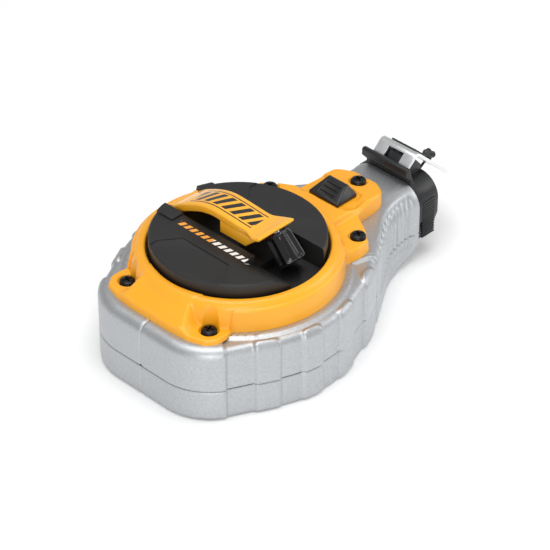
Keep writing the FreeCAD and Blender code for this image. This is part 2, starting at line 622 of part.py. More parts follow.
def crank_disc():
    """The disc: hollow below on both sides, with a slot for the arm and a bay for the knob on top."""
    outer, base, top = size("disc_radius"), size("disc_base"), size("disc_top")
    inner_base = size("carrier_top")
    shelf = size("carrier_radius") + 0.6
    blind = size("shaft_top") + 0.6
    bore = size("shaft_radius") + size("running_gap")
    section = [(bore, inner_base), (shelf, inner_base), (shelf, base), (outer, base), (outer, top - 0.8),
               (outer - 0.8, top), (0, top), (0, blind), (bore, blind)]
    wire = Part.makePolygon([Vector(r, 0, level) for r, level in section + section[:1]])
    disc = Part.Face(wire).revolve(Vector(), Z_AXIS, 360)
    slot_low, slot_high, floor = size("slot_low"), size("slot_high"), size("slot_floor")
    bay_low, bay_high, bay_floor = size("bay_low"), size("bay_high"), size("bay_floor")
    slot = box((slot_low, size("bay_end") - 1, floor), (slot_high, outer + 5, top + 5))
    ramp = 8.5
    bay_corners = [(bay_low - ramp, top + 0.01), (bay_low, size("slot_floor") + size("slot_step")),
                   (bay_low, bay_floor), (bay_high, bay_floor), (bay_high, top + 0.01)]
    bay = prism(bay_corners, -outer - 5, size("bay_end"), Vector(0, 1, 0))
    shoulder = box((slot_low, size("bay_end") - 1, floor), (bay_high, size("bay_end") + 6, top + 5))
    ear_wide, ear_top = size("ear_wide"), size("ear_top")
    ear_start, ear_end = outer - size("ear_long"), outer - size("ear_inset")
    ears = box((slot_low - ear_wide, ear_start, top - 1), (slot_high + ear_wide, ear_end, ear_top))
    disc = disc.fuse(ears.common(rod(outer - 0.4, (0, 0, 0), (0, 0, 100))))
    wall = 2.2
    hollow = rod(outer - wall, (0, 0, base - 1), (0, 0, top - 3.2))
    hollow = hollow.cut(rod(shelf + wall, (0, 0, 0), (0, 0, 100)))
    core = box((bay_low - ramp - wall, -100, 0), (bay_high + wall, 100, 100))
    cuts = [slot, bay, shoulder, hollow.cut(core), hinge_line(-20, 25, size("arm_pin") + size("running_gap"))]
    root, way = knob_frame()
    room = size("knob_room")
    knob_space = Part.makeCylinder(size("knob_large") + room, size("knob_long") + room, root, way)
    cuts.append(knob_space.common(box((-100, -100, base + 1.0), (100, 100, 100))))
    facet, facet_half = size("facet_reach"), size("facet_half")
    spread, far_half = size("facet_spread"), facet_half + size("facet_flare")
    for side in (-1, 1):
        outward = [(facet + spread, far_half), (facet, facet_half), (facet, -facet_half),
                   (facet + spread, -far_half), (outer + 5, -far_half), (outer + 5, far_half)]
        cuts.append(prism([(side * x, y) for x, y in outward], top - size("facet_depth"), top + 5))
    for number in range(3):
        angle = math.radians(60 + 120 * number)
        reach = size("carrier_radius") - 5
        x, y = reach * math.cos(angle), reach * math.sin(angle)
        thread = size("carrier_shank") + 0.05
        cuts.append(rod(thread, (x, y, 0), (x, y, inner_base + size("carrier_screw_deep") + 0.2)))
    return feature("crank_disc", disc.cut(cuts))


def arm_pin():
    reach = 5.5
    low, high = size("slot_low") - reach, size("slot_high") + reach
    return feature("arm_pin", hinge_line(low, high, size("arm_pin")))


def knob_frame():
    """The knob's root and its direction, square to the hinge line."""
    tilt = math.radians(size("knob_tilt"))
    root = Vector(size("knob_middle"), -size("knob_root_reach"), size("knob_root_level"))
    return root, Vector(0, -math.cos(tilt), -math.sin(tilt))


def crank_arm():
    """The arched arm: a hinge knuckle, an arched bar with a lip, and a block that carries the knob."""
    low, high = size("arm_low"), size("arm_high")
    reach, level, top = hinge_reach(), size("hinge_level"), size("arch_top")
    thick = size("arm_thick")
    lip_y, lip_z = -size("lip_reach"), size("lip_level")

    def spot(y, z):
        return Vector(low, y, z)

    outer_start, outer_end = spot(reach + 1.2, level + 2.6), spot(9, top)
    inner_start, inner_end = spot(reach - 2.8, level - 1.5), spot(8.7, top - thick)
    edges = [
        Part.Arc(outer_start, spot(reach - 10.5, top - 4.4), outer_end).toShape(),
        Part.LineSegment(outer_end, spot(lip_y + 8, top - 0.7)).toShape(),
        Part.LineSegment(spot(lip_y + 8, top - 0.7), spot(lip_y, lip_z)).toShape(),
        Part.LineSegment(spot(lip_y, lip_z), spot(lip_y + 1.2, lip_z - 3)).toShape(),
        Part.LineSegment(spot(lip_y + 1.2, lip_z - 3), spot(lip_y + 6, top - thick)).toShape(),
        Part.LineSegment(spot(lip_y + 6, top - thick), inner_end).toShape(),
        Part.Arc(inner_end, spot(reach - 11.4, top - thick - 4.0), inner_start).toShape(),
        Part.LineSegment(inner_start, outer_start).toShape(),
    ]
    bar = Part.Face(Part.Wire(edges)).extrude(Vector(high - low, 0, 0))
    knuckle = hinge_line(low, high, size("knuckle_radius"))
    bottom = size("disc_top") - 0.8
    corners = [(6.5, top - 2), (6.5, bottom), (-9.5, bottom), (lip_y + 2.4, top - 2.2), (lip_y + 6, top - 2)]
    boss = prism(corners, low, high, Vector(1, 0, 0))
    root, way = knob_frame()
    socket = rod(size("axle_radius"), tuple(root - way * 5), tuple(root + way * 5))
    arm = bar.fuse([knuckle, boss]).cut([hinge_line(-50, 50, size("arm_pin") + size("running_gap")), socket])
    wings = prism([(lip_y + 4, top - 1), (lip_y, lip_z), (lip_y + 1.2, lip_z - 3), (lip_y + 4, lip_z - 4.2)],
                  low - 2.8, high + 2.8, Vector(1, 0, 0))
    return feature("crank_arm", arm.fuse(wings).cut(socket))


def crank_knob():
    root, way = knob_frame()
    length = size("knob_long")
    small, large = size("knob_small"), size("knob_large")
    body = Part.makeCone(small, large, length, root, way)
    round_edges = [edge for edge in body.Edges if edge.Closed]
    body = body.makeFillet(0.8, round_edges)
    bore = size("axle_radius") + size("running_gap")
    flutes = []
    side = Vector(1, 0, 0)
    for number in range(10):
        spread = way + side * ((large - small) / length)
        flute = Part.makeCone(0.75, 0.95, length + 2, root - way + side * small, spread)
        flute.rotate(root, way, 36 * number)
        flutes.append(flute)
    axle_hole = rod(bore, tuple(root - way), tuple(root + way * (length - 3)))
    return feature("crank_knob", body.cut(flutes + [axle_hole]))


def knob_axle():
    root, way = knob_frame()
    return feature("knob_axle", rod(size("axle_radius"), tuple(root - way * 4.6), tuple(root + way * 11)))


# ---------------------------------------------------------------- clutch slide and pawl

def clutch_button():
    """A wedge with a grooved thumb face and sloped ends, on a stem that reaches down to the cam plate."""
    low, high = size("button_low"), size("button_high")
    near, far = size("button_near"), size("button_far")
    base, top = size("button_base"), size("button_top")
    crest = low + size("button_crest")
    foot = base + 1.4
    section = [(low, base), (high, base), (high, foot), (crest + 1.6, top), (crest, top), (low, foot)]
    cap = prism(section, near, far, Vector(0, 1, 0))
    cuts = []
    for end, inward in ((near, 1), (far, -1)):
        beyond = end - inward
        slope_top = end + size("button_slope") * inward
        slope = [(beyond, foot), (end, foot), (slope_top, top), (slope_top, top + 1), (beyond, top + 1)]
        cuts.append(prism(slope, low - 1, high + 1, Vector(1, 0, 0)))
    face = Vector(crest - low, 0, top - foot).normalize()
    inwards = Vector(face.z, 0, -face.x)
    for number in range(3):
        start = Vector(low, 0, foot) + face * (2.0 + 2.5 * number) - inwards
        groove = [start, start + face * 1.1, start + face * 1.1 + inwards * 1.7, start + inwards * 1.7]
        cuts.append(prism([(p.x, p.z) for p in groove], near + 4.5, far - 4.5, Vector(0, 1, 0)))
    middle = (near + far) / 2 - 1
    stem = box((low + 3.5, middle - 5, size("cam_top")), (high - 3.5, middle + 5, base))
    return feature("clutch_button", cap.cut(cuts).fuse(stem))


def cam_plate():
    """The plate under the cover that the slide carries; its slanted slot moves the pawl."""
    pin_x, pin = size("cam_pin_x"), size("cam_pin")
    travel, throw = size("clutch_travel"), size("pawl_travel")
    plate = box((pin_x - 3.4, -10, size("cam_base")), (size("button_high") - 1.5, 7, size("cam_top")))
    wide = pin + 0.3
    start = Vector(pin_x, 0, 0)
    end = Vector(pin_x + throw, -travel, 0)
    way = (end - start).normalize()
    side = Vector(-way.y, way.x, 0) * wide
    start, end = start - way * 0.2, end + way * 0.2
    corners = [start + side, end + side, end - side, start - side]
    slot = prism([(p.x, p.y) for p in corners], 0, 100)
    ends = [rod(wide, (p.x, p.y, 0), (p.x, p.y, 100)) for p in (start, end)]
    return feature("cam_plate", plate.cut([slot] + ends))


def clutch_pawl():
    """The pawl: a tooth in the ring gear's notch, a flat slide and the pin that the cam slot guides."""
    base, top = size("pawl_base"), size("pawl_top")
    tooth = size("ring_rim") - 1.3
    bar = box((tooth, -1.9, base), (size("ring_rim") + 3, 1.9, top))
    slide = box((size("ring_rim") + 2.8, -4, base), (size("cam_pin_x") + 3, 4, top))
    pin_x = size("cam_pin_x")
    pin = rod(size("cam_pin"), (pin_x, 0, top), (pin_x, 0, size("cam_top")))
    return feature("clutch_pawl", bar.fuse([slide, pin]))


# ---------------------------------------------------------------- mouth, felt and hook

def mouth_section():
    """The neck's end section as a face at the joint plane: rounded top corners, tapered lower ones."""
    x = neck_end() + 0.3
    half, base, top, bend = size("neck_half"), size("mouth_base"), size("crown") + 0.3, size("mouth_round")
    give = bend * (1 - math.sqrt(0.5))
    points = {name: Vector(x, y, z) for name, (y, z) in {
        "low": (half - 4.2, base), "mid": (half - 1.6, base + 9), "side": (half, base + 14),
        "shoulder": (half, top - bend), "bend": (half - give, top - give), "top": (half - bend, top)}.items()}

    def mirror(point):
        return Vector(point.x, -point.y, point.z)

    edges = []
    for start, end in (("low", "mid"), ("mid", "side"), ("side", "shoulder")):
        edges.append(Part.LineSegment(points[start], points[end]).toShape())
        edges.append(Part.LineSegment(mirror(points[start]), mirror(points[end])).toShape())
    corner = [points[name] for name in ("shoulder", "bend", "top")]
    edges.append(Part.Arc(*corner).toShape())
    edges.append(Part.Arc(*[mirror(point) for point in corner]).toShape())
    for name in ("top", "low"):
        edges.append(Part.LineSegment(points[name], mirror(points[name])).toShape())
    return Part.Face(Part.Wire(Part.__sortEdges__(edges)))


def mouth_nose():
    """The filling door: a hollow nose with a thumb lip over the neck and a wedge that the hook sits on."""
    start = neck_end() + 0.3
    end = neck_end() + size("mouth_long")
    top = size("crown") + 0.3
    nose = mouth_section().extrude(Vector(end - start, 0, 0))
    thumb = size("thumb_level")
    lip = prism([(start, top - 6), (start, top + 1.2), (start - 3.4, thumb - 4), (start - 3.4, thumb - 0.8),
                 (start - 2.4, thumb), (start - 0.8, thumb - 0.4), (start + 1.2, top + 2.6),
                 (start + 4, top - 6)],
                -size("lip_half"), size("lip_half"), Vector(0, 1, 0))
    wedge = prism([(start + 1, top - 4), (start + 1.6, top + 3.2), (start + 6.2, top + 8.0),
                   (start + 8.4, top + 7.4), (end, top + 2.6), (end, top - 4)], -9, 9, Vector(0, 1, 0))
    felt = size("felt_half")
    level = size("line_level")
    chamber = box((start - 1, -felt, level - 9), (end - 2.5, felt, level + 9))
    exit_slot = box((end - 4, -3.5, level - 3), (end + 1, 3.5, level + 3))
    pin_x, pin_z = neck_end() + size("mouth_pin_ahead"), size("mouth_pin_z")
    clear = size("mouth_knuckle") + size("free_gap")
    half = size("lip_half") / 2
    lug_room = rod(clear, (pin_x, -half - 0.3, pin_z), (pin_x, half + 0.3, pin_z))
    lug_way = box((start - 1, -half - 0.3, 0), (pin_x, half + 0.3, pin_z + clear))
    below = box((start - 1, -half - 0.3, 0), (pin_x + clear, half + 0.3, pin_z))
    bore = size("mouth_pin") + size("running_gap")
    pin_hole = rod(bore, (pin_x, -half - 6, pin_z), (pin_x, half + 6, pin_z))
    heel = prism([(start - 1, 0), (pin_x + 0.2, 0), (start - 1, pin_z + 2)], -30, 30, Vector(0, 1, 0))
    nose = nose.fuse([lip, wedge]).cut([chamber, exit_slot, lug_room, lug_way, below, pin_hole, heel])
    return feature("mouth_nose", nose)


def mouth_pin():
    pin_x, pin_z = neck_end() + size("mouth_pin_ahead"), size("mouth_pin_z")
    half = size("lip_half") / 2
    return feature("mouth_pin", rod(size("mouth_pin"), (pin_x, -half - 6, pin_z), (pin_x, half + 6, pin_z)))


def felt_wipers():
    """Two felt pads that clean surplus chalk off the line."""
    start = neck_end() + 0.4
    end = neck_end() + size("mouth_long") - 2.5
    felt, level, gap = size("felt_half"), size("line_level"), size("line_radius") + 0.1
    lower = box((start, -felt, level - 9), (end, felt, level - gap))
    upper = box((start, -felt, level + gap), (end, felt, level + 9))
    return feature_group("felt_wipers", [lower, upper])


def hook_frame():
    """The bend's middle, the plate's direction and the flange's direction, both in the XZ plane."""
    slope = math.radians(size("hook_slope"))
    bend = Vector(neck_end() + size("hook_bend_ahead"), 0, size("hook_bend_z"))
    plate = Vector(math.cos(slope), 0, -math.sin(slope))
    flange = Vector(-math.cos(slope), 0, -math.sin(slope))
    return bend, plate, flange


def bar_along(start, way, long, thick, low, high, below):
    """A flat bar from a point along a direction in the XZ plane, its thickness laid towards below."""
    depth = Vector(below.x, 0, below.z).normalize() * thick
    corners = [start, start + way * long, start + way * long + depth, start + depth]
    return prism([(p.x, p.z) for p in corners], low, high, Vector(0, 1, 0))


def end_hook():
    bend, plate, flange = hook_frame()
    thick, half = size("hook_thick"), size("hook_half")
    slope = math.radians(size("hook_slope"))
    under_plate = Vector(-math.sin(slope), 0, -math.cos(slope))
    under_flange = Vector(-under_plate.x, 0, under_plate.z)
    blade = bar_along(bend, plate, size("hook_plate_long"), thick, -half, half, under_plate)
    claw = bar_along(bend, flange, size("hook_flange_long"), thick, -half, half, under_flange)
    window = bar_along(bend + flange * 2.4 - under_flange * 3, flange, 20, 8, -4.6, 4.6, under_flange)
    eye_at = bend + plate * (size("hook_plate_long") - 8)
    eye = Part.makeCylinder(2.2, 10, eye_at - under_plate * 3, under_plate)
    nail = bend + plate * 16
    nail_slot = Part.makeCylinder(1.6, 10, nail - under_plate * 3, under_plate)
    return feature("end_hook", blade.fuse(claw).cut([window, eye, nail_slot]))


def hook_pad():
    """A rubber grip pad on the upper face of the hook plate, near the bend."""
    bend, plate, _ = hook_frame()
    slope = math.radians(size("hook_slope"))
    above = Vector(math.sin(slope), 0, math.cos(slope))
    pad = bar_along(bend + plate * 2.6, plate, 11, 0.9, -size("hook_half") + 3, size("hook_half") - 3, above)
    return feature("hook_pad", pad)


def line_strand():
    """The line from the door plane through the felts to the hook's eye."""
    bend, plate, _ = hook_frame()
    slope = math.radians(size("hook_slope"))
    below = Vector(-math.sin(slope), 0, -math.cos(slope))
    eye = bend + plate * (size("hook_plate_long") - 8) + below * (size("hook_thick") + 0.5)
    start = Vector(neck_end() + 0.4, 0, size("line_level"))
    leave = Vector(neck_end() + size("mouth_long") + 1.5, 0, size("line_level"))
    inside = rod(size("line_radius"), tuple(start), tuple(leave))
    outside = rod(size("line_radius"), tuple(leave), tuple(eye))
    joint = Part.makeSphere(size("line_radius"), leave)
    return feature("line_strand", inside.fuse([outside, joint]))


def line_knot():
    """The knot above the eye, with its stem through the eye."""
    bend, plate, _ = hook_frame()
    slope = math.radians(size("hook_slope"))
    above = Vector(math.sin(slope), 0, math.cos(slope))
    eye = bend + plate * (size("hook_plate_long") - 8)
    knot = Part.makeSphere(2.7, eye + above * 2.75)
    stem = Part.makeCylinder(1.1, 2.6, eye + above * 1.0, above * -1)
    return feature("line_knot", knot.fuse(stem))


# ---------------------------------------------------------------- build, check and write

lower_shell()
upper_shell()
shell_screws()
feature("shell_gasket", gasket_ring())
cover_plate()
cover_screws()
bushes_and_seal()
spool_and_line()
line_feed()
gears()
planet_carrier()
carrier_fasteners()
crank_disc()
arm_pin()
crank_arm()
crank_knob()
knob_axle()
clutch_button()
cam_plate()
clutch_pawl()
mouth_nose()
mouth_pin()
felt_wipers()
end_hook()
hook_pad()
line_strand()
line_knot()

doc.recompute()
for item in doc.Objects:
    if "Invalid" in item.State or "Error" in item.State:
        raise RuntimeError(f"{item.Name} failed to build")
for sub_part in SUBPARTS:
    if sub_part.Shape.isNull() or not sub_part.Shape.isValid():
        raise RuntimeError(f"{sub_part.Label} has no valid shape")

os.makedirs("parts", exist_ok=True)
for sub_part in SUBPARTS:
    sub_part.Shape.exportStep(f"parts/{sub_part.Label}.step")
    print(f"{sub_part.Label}: {len(sub_part.Shape.Solids)} solid(s), {sub_part.Shape.Volume / 1000:.2f} cm3")
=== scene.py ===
"""Chalk line reel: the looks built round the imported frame. Metres, in the frame's own axes."""
import json
import math

import bmesh
import bpy
import numpy as np
from mathutils import Matrix, Vector


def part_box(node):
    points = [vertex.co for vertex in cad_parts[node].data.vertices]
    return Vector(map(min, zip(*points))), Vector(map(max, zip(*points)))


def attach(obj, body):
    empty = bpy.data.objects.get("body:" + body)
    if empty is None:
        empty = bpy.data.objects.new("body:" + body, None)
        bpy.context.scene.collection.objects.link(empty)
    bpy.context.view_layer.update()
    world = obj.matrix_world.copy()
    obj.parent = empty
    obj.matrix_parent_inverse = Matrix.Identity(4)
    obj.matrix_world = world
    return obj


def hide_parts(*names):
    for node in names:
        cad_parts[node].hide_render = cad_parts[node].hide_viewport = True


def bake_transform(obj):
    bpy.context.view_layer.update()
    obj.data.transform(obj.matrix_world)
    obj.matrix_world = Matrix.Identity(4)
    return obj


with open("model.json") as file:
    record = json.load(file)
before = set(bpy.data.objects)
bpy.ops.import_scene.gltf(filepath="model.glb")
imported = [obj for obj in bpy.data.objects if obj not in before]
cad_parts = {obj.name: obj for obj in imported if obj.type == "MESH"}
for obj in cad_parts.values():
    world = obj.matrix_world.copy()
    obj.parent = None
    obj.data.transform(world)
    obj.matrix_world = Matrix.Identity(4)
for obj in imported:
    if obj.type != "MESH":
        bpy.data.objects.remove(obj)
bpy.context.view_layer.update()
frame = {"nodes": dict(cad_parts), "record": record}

MM = 0.001

# Housing outline seen from above and its section, in millimetres (the same values as the frame's housing).
SHELL_LOW, SHELL_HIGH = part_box("upper_shell")
TAIL_REACH = -SHELL_LOW.x / MM
BODY_RADIUS = SHELL_HIGH.y / MM
NECK_END = SHELL_HIGH.x / MM
PARTING = SHELL_LOW.z / MM
CROWN = SHELL_HIGH.z / MM
DECK = 38.0
NECK_HALF = 20.5
TAIL_CORNER, TAIL_ANGLE = 28.0, 117.0
FLANK_ANGLE, FLANK_LEAD, FLANK_TURN, FLANK_BLEND = 70.5, 21.6, 33.0, 60.0
NECK_BLEND = 40.0
SHOULDER, NECK_SHOULDER = 5.0, 11.0
CROWN_START, KEEL_START, KEEL_RISE = 62.0, 75.0, 7.0
SOLE = 2.5


# ---------------------------------------------------------------- materials

def linear(hex_colour, alpha=1.0):
    """An sRGB hex colour as the linear values that the shader takes."""
    parts = [int(hex_colour[i:i + 2], 16) / 255 for i in (1, 3, 5)]
    return tuple(c / 12.92 if c <= 0.04045 else ((c + 0.055) / 1.055) ** 2.4 for c in parts) + (alpha,)


def add(tree, kind, inputs=None, **settings):
    """Adds a node; inputs maps a socket's name or number to a value or to another node's output."""
    made = tree.nodes.new(kind)
    for name, value in settings.items():
        setattr(made, name, value)
    for key, value in (inputs or {}).items():
        if isinstance(value, bpy.types.NodeSocket):
            tree.links.new(value, made.inputs[key])
        else:
            made.inputs[key].default_value = value
    return made


def surface(name, light, dark, roughness, metallic=0.0, ior=None, mottle_mm=12.0, grain_mm=0.4,
            grain_depth_mm=0.02, rough_spread=0.06, wave_mm=None, wave_depth_mm=0.01, coat=0.0):
    """A material with mottled colour, uneven roughness and a grain, all at sizes in millimetres.

    Returns the material, its shader, the object coordinates and the mottled colour.
    """
    material = bpy.data.materials.new(name)
    material.use_nodes = True
    tree = material.node_tree
    tree.nodes.clear()
    shader = add(tree, "ShaderNodeBsdfPrincipled", {"Metallic": metallic})
    if ior:
        shader.inputs["IOR"].default_value = ior
    if coat:
        shader.inputs["Coat Weight"].default_value = coat
        shader.inputs["Coat Roughness"].default_value = 0.08
    add(tree, "ShaderNodeOutputMaterial", {"Surface": shader.outputs["BSDF"]})
    place = add(tree, "ShaderNodeTexCoord").outputs["Object"]
    clouds = {}
    for use, blob_mm, detail, rough in (
            ("colour", mottle_mm, 4.0, 0.5), ("roughness", mottle_mm * 0.35, 3.0, 0.5),
            ("grain", grain_mm, 3.0, 0.6), ("wave", wave_mm, 1.0, 0.5)):
        if blob_mm:
            settings = {"Vector": place, "Scale": 1 / (blob_mm * MM), "Detail": detail, "Roughness": rough}
            clouds[use] = add(tree, "ShaderNodeTexNoise", settings).outputs["Fac"]
    share = add(tree, "ShaderNodeMapRange", {"Value": clouds["colour"], "From Min": 0.3, "From Max": 0.7})
    colour = add(tree, "ShaderNodeMix", {0: share.outputs["Result"], 6: linear(dark), 7: linear(light)},
                 data_type="RGBA").outputs[2]
    uneven = add(tree, "ShaderNodeMapRange", {
        "Value": clouds["roughness"], "From Min": 0.3, "From Max": 0.7,
        "To Min": roughness - rough_spread, "To Max": roughness + rough_spread})
    relief = add(tree, "ShaderNodeBump", {"Height": clouds["grain"], "Distance": grain_depth_mm * MM,
                                          "Strength": 1.0})
    if wave_mm:
        relief = add(tree, "ShaderNodeBump", {"Height": clouds["wave"], "Distance": wave_depth_mm * MM,
                                              "Strength": 1.0, "Normal": relief.outputs["Normal"]})
    for socket, value in (("Base Color", colour), ("Roughness", uneven.outputs["Result"]),
                          ("Normal", relief.outputs["Normal"])):
        tree.links.new(value, shader.inputs[socket])
    return material, shader, place, colour


def slanted_dashes(tree, place, middle, half, pitch, slant, share, span, tilt, rules=()):
    """A mask of slanted printed dashes in a strip along Y, with thin rules beside them, on upward faces only.

    Sizes are in millimetres; share is how much of the pitch a dash fills, tilt a face's least upward lean.
    Returns the mask and the place along the strip.
    """
    axes = add(tree, "ShaderNodeSeparateXYZ", {0: place})
    facing = add(tree, "ShaderNodeTexCoord").outputs["Normal"]
    found = {"across": axes.outputs["X"], "along": axes.outputs["Y"],
             "upward": add(tree, "ShaderNodeSeparateXYZ", {0: facing}).outputs["Z"]}
    steps = [("from_middle", "SUBTRACT", "across", middle * MM),
             ("off_middle", "ABSOLUTE", "from_middle", 0.0),
             ("strip", "LESS_THAN", "off_middle", half * MM),
             ("shift", "MULTIPLY", "across", slant),
             ("slanted", "ADD", "along", "shift"),
             ("turns", "DIVIDE", "slanted", pitch * MM),
             ("phase", "FRACT", "turns", 0.0),
             ("dash", "LESS_THAN", "phase", share),
             ("mark", "MULTIPLY", "dash", "strip")]
    for rule in rules:
        steps += [("from_rule", "SUBTRACT", "across", rule * MM),
                  ("off_rule", "ABSOLUTE", "from_rule", 0.0),
                  ("rule", "LESS_THAN", "off_rule", RULE_HALF * MM),
                  ("mark", "MAXIMUM", "mark", "rule")]
    steps += [("before_end", "LESS_THAN", "along", span[1] * MM),
              ("after_start", "GREATER_THAN", "along", span[0] * MM),
              ("in_span", "MULTIPLY", "before_end", "after_start"),
              ("on_top", "GREATER_THAN", "upward", tilt),
              ("in_place", "MULTIPLY", "in_span", "on_top"),
              ("mark", "MULTIPLY", "mark", "in_place")]
    for name, operation, first, second in steps:
        values = {0: found.get(first, first), 1: found.get(second, second)}
        found[name] = add(tree, "ShaderNodeMath", values, operation=operation).outputs[0]
    return found["mark"], found["along"]


def cast_aluminium():
    """Die-cast aluminium, tumbled and bead-blasted: bright satin grey with a fine grain and faint flow marks.

    The real blasted grain is about 0.1 mm; it is drawn at 0.7 mm, which is as fine as shows.
    """
    return surface("die_cast_aluminium", "#C2C4C6", "#B4B7BA", 0.5, metallic=1.0, mottle_mm=1.0, grain_mm=0.7,
                   grain_depth_mm=0.04, rough_spread=0.04, wave_mm=5.0, wave_depth_mm=0.03)[0]


def cover_yellow():
    """Injection-moulded ABS in amber yellow: satin, with a very fine spark-eroded texture."""
    return surface("abs_amber_satin", "#F9AE22", "#F4A519", 0.36, ior=1.54, mottle_mm=30.0, grain_mm=0.5,
                   grain_depth_mm=0.012, rough_spread=0.03)[0]


def arm_yellow():
    """Polished ABS in amber yellow, pad-printed in black: two thin rules with slanted dashes between them."""
    material, shader, place, colour = surface(
        "abs_amber_polished", "#FBB52E", "#F7AC22", 0.24, ior=1.54, mottle_mm=30.0, grain_mm=0.8,
        grain_depth_mm=0.008, rough_spread=0.03, coat=0.3)
    tree = material.node_tree
    mask, _ = slanted_dashes(tree, place, ARM_MIDDLE, half=4.3, pitch=5.4, slant=0.55, share=0.56,
                             span=(-11.0, 27.0), tilt=0.5, rules=(ARM_MIDDLE - 5.6, ARM_MIDDLE + 5.4))
    inked = add(tree, "ShaderNodeMix", {0: mask, 6: colour, 7: linear("#1B1A19")}, data_type="RGBA")
    tree.links.new(inked.outputs[2], shader.inputs["Base Color"])
    return material


def disc_charcoal():
    """Glass-filled nylon in charcoal with a fine mould texture and printed dashes in amber, then white."""
    material, shader, place, colour = surface(
        "nylon_charcoal_textured", "#171716", "#121212", 0.48, ior=1.53, mottle_mm=18.0, grain_mm=0.45,
        grain_depth_mm=0.02, rough_spread=0.04)
    tree = material.node_tree
    mask, along = slanted_dashes(tree, place, -12.8, half=1.45, pitch=3.6, slant=0.5, share=0.62,
                                 span=(-18.5, 24.0), tilt=0.8)
    amber_part = add(tree, "ShaderNodeMath", {0: along, 1: AMBER_ABOVE * MM}, operation="GREATER_THAN")
    ink = add(tree, "ShaderNodeMix", {0: amber_part.outputs[0], 6: linear("#ECEBE6"), 7: linear("#F2A23A")},
              data_type="RGBA")
    inked = add(tree, "ShaderNodeMix", {0: mask, 6: colour, 7: ink.outputs[2]}, data_type="RGBA")
    tree.links.new(inked.outputs[2], shader.inputs["Base Color"])
    return material


def knob_black():
    """Acetal in black, moulded glossy."""
    return surface("acetal_black_gloss", "#18181A", "#121214", 0.17, ior=1.48, mottle_mm=10.0, grain_mm=0.9,
                   grain_depth_mm=0.01, rough_spread=0.05)[0]


def button_black():
    """Nylon in black with a satin moulding, polished on its ridges by the thumb."""
    return surface("nylon_black_satin", "#161617", "#101011", 0.34, ior=1.53, mottle_mm=8.0, grain_mm=0.4,
                   grain_depth_mm=0.015)[0]


def mouth_black():
    """Glass-filled nylon in blue-black, satin."""
    return surface("nylon_blue_black", "#121417", "#0E0F12", 0.42, ior=1.53, mottle_mm=12.0, grain_mm=0.4,
                   grain_depth_mm=0.015)[0]


def stainless():
    """Rolled and polished stainless strip: bright, with slightly uneven gloss."""
    return surface("stainless_strip_polished", "#EEEFF0", "#E2E4E6", 0.3, metallic=1.0, mottle_mm=6.0,
                   grain_mm=0.5, grain_depth_mm=0.006, rough_spread=0.05)[0]


def black_oxide():
    """Steel screws with a black oxide finish and a trace of oil."""
    return surface("steel_black_oxide", "#232324", "#18181A", 0.34, metallic=0.6, mottle_mm=2.0, grain_mm=0.3,
                   grain_depth_mm=0.01)[0]


def turned_steel():
    """Turned and ground steel for shafts, pins and small plates."""
    return surface("steel_ground", "#B9BCC0", "#A6A9AE", 0.28, metallic=1.0, mottle_mm=5.0, grain_mm=0.3,
                   grain_depth_mm=0.008)[0]


def bronze():
    """Oil-filled sintered bronze: dull, brown and open-grained."""
    return surface("bronze_sintered", "#A9804A", "#8D6A3C", 0.46, metallic=1.0, mottle_mm=3.0, grain_mm=0.25,
                   grain_depth_mm=0.03)[0]


def gear_nylon():
    """Natural nylon gears: creamy, slightly waxy."""
    return surface("nylon_natural", "#E6E2D6", "#DAD5C6", 0.4, ior=1.53, mottle_mm=6.0, grain_mm=0.5,
                   grain_depth_mm=0.01)[0]


def spool_grey():
    """Polypropylene spool in mid grey, dusted with blue chalk."""
    return surface("polypropylene_grey", "#6E7378", "#5C6C86", 0.5, ior=1.49, mottle_mm=14.0, grain_mm=0.5,
                   grain_depth_mm=0.02)[0]


def rubber_black():
    """Nitrile rubber, matt and slightly bloomed."""
    return surface("rubber_nitrile", "#2B2B2C", "#212122", 0.66, ior=1.52, mottle_mm=5.0, grain_mm=0.35,
                   grain_depth_mm=0.03)[0]


def felt_grey():
    """Pressed wool felt, fibrous and soft-edged."""
    return surface("wool_felt_pressed", "#B9B5AC", "#938F88", 0.92, mottle_mm=2.0, grain_mm=0.3,
                   grain_depth_mm=0.12)[0]


def chalk_line():
    """Braided polyester line, stained dark by old chalk."""
    return surface("polyester_braid", "#4A4B48", "#2F302E", 0.85, mottle_mm=1.2, grain_mm=0.35,
                   grain_depth_mm=0.15)[0]


ARM_LOW, ARM_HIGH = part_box("crank_arm")
ARM_MIDDLE = (ARM_LOW.x + ARM_HIGH.x) / 2 / MM
RULE_HALF = 0.32
AMBER_ABOVE = 3.0

FINISHES = {
    "cast_aluminium": cast_aluminium(), "cover_yellow": cover_yellow(), "arm_yellow": arm_yellow(),
    "disc_charcoal": disc_charcoal(), "knob_black": knob_black(), "button_black": button_black(),
    "mouth_black": mouth_black(), "stainless": stainless(), "black_steel": black_oxide(),
    "steel": turned_steel(), "bronze": bronze(), "gear_nylon": gear_nylon(), "spool_grey": spool_grey(),
    "rubber": rubber_black(), "felt": felt_grey(), "line": chalk_line(),
}
SLOT_OF = {entry["node"]: entry["material_slot"] for entry in frame["record"]["subparts"]}
BODY_OF = {node: body for body, nodes in frame["record"]["behaviour"]["bodies"].items() for node in nodes}


# ---------------------------------------------------------------- making pieces

def paint(obj, slot):
    obj.data.materials.clear()
    obj.data.materials.append(FINISHES[slot])


def shade(mesh, sharp_degrees=38.0):
    """Smooth shading that keeps edges sharper than the angle."""
    mesh.polygons.foreach_set("use_smooth", [True] * len(mesh.polygons))
    mesh.set_sharp_from_angle(angle=math.radians(sharp_degrees))


def stand_for(obj, *nodes):
    """Lets a finished piece take the place of CAD nodes: their finish, their body and their slot."""
    slot = SLOT_OF[nodes[0]]
    paint(obj, slot)
    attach(obj, BODY_OF[nodes[0]])
    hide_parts(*nodes)
    return obj


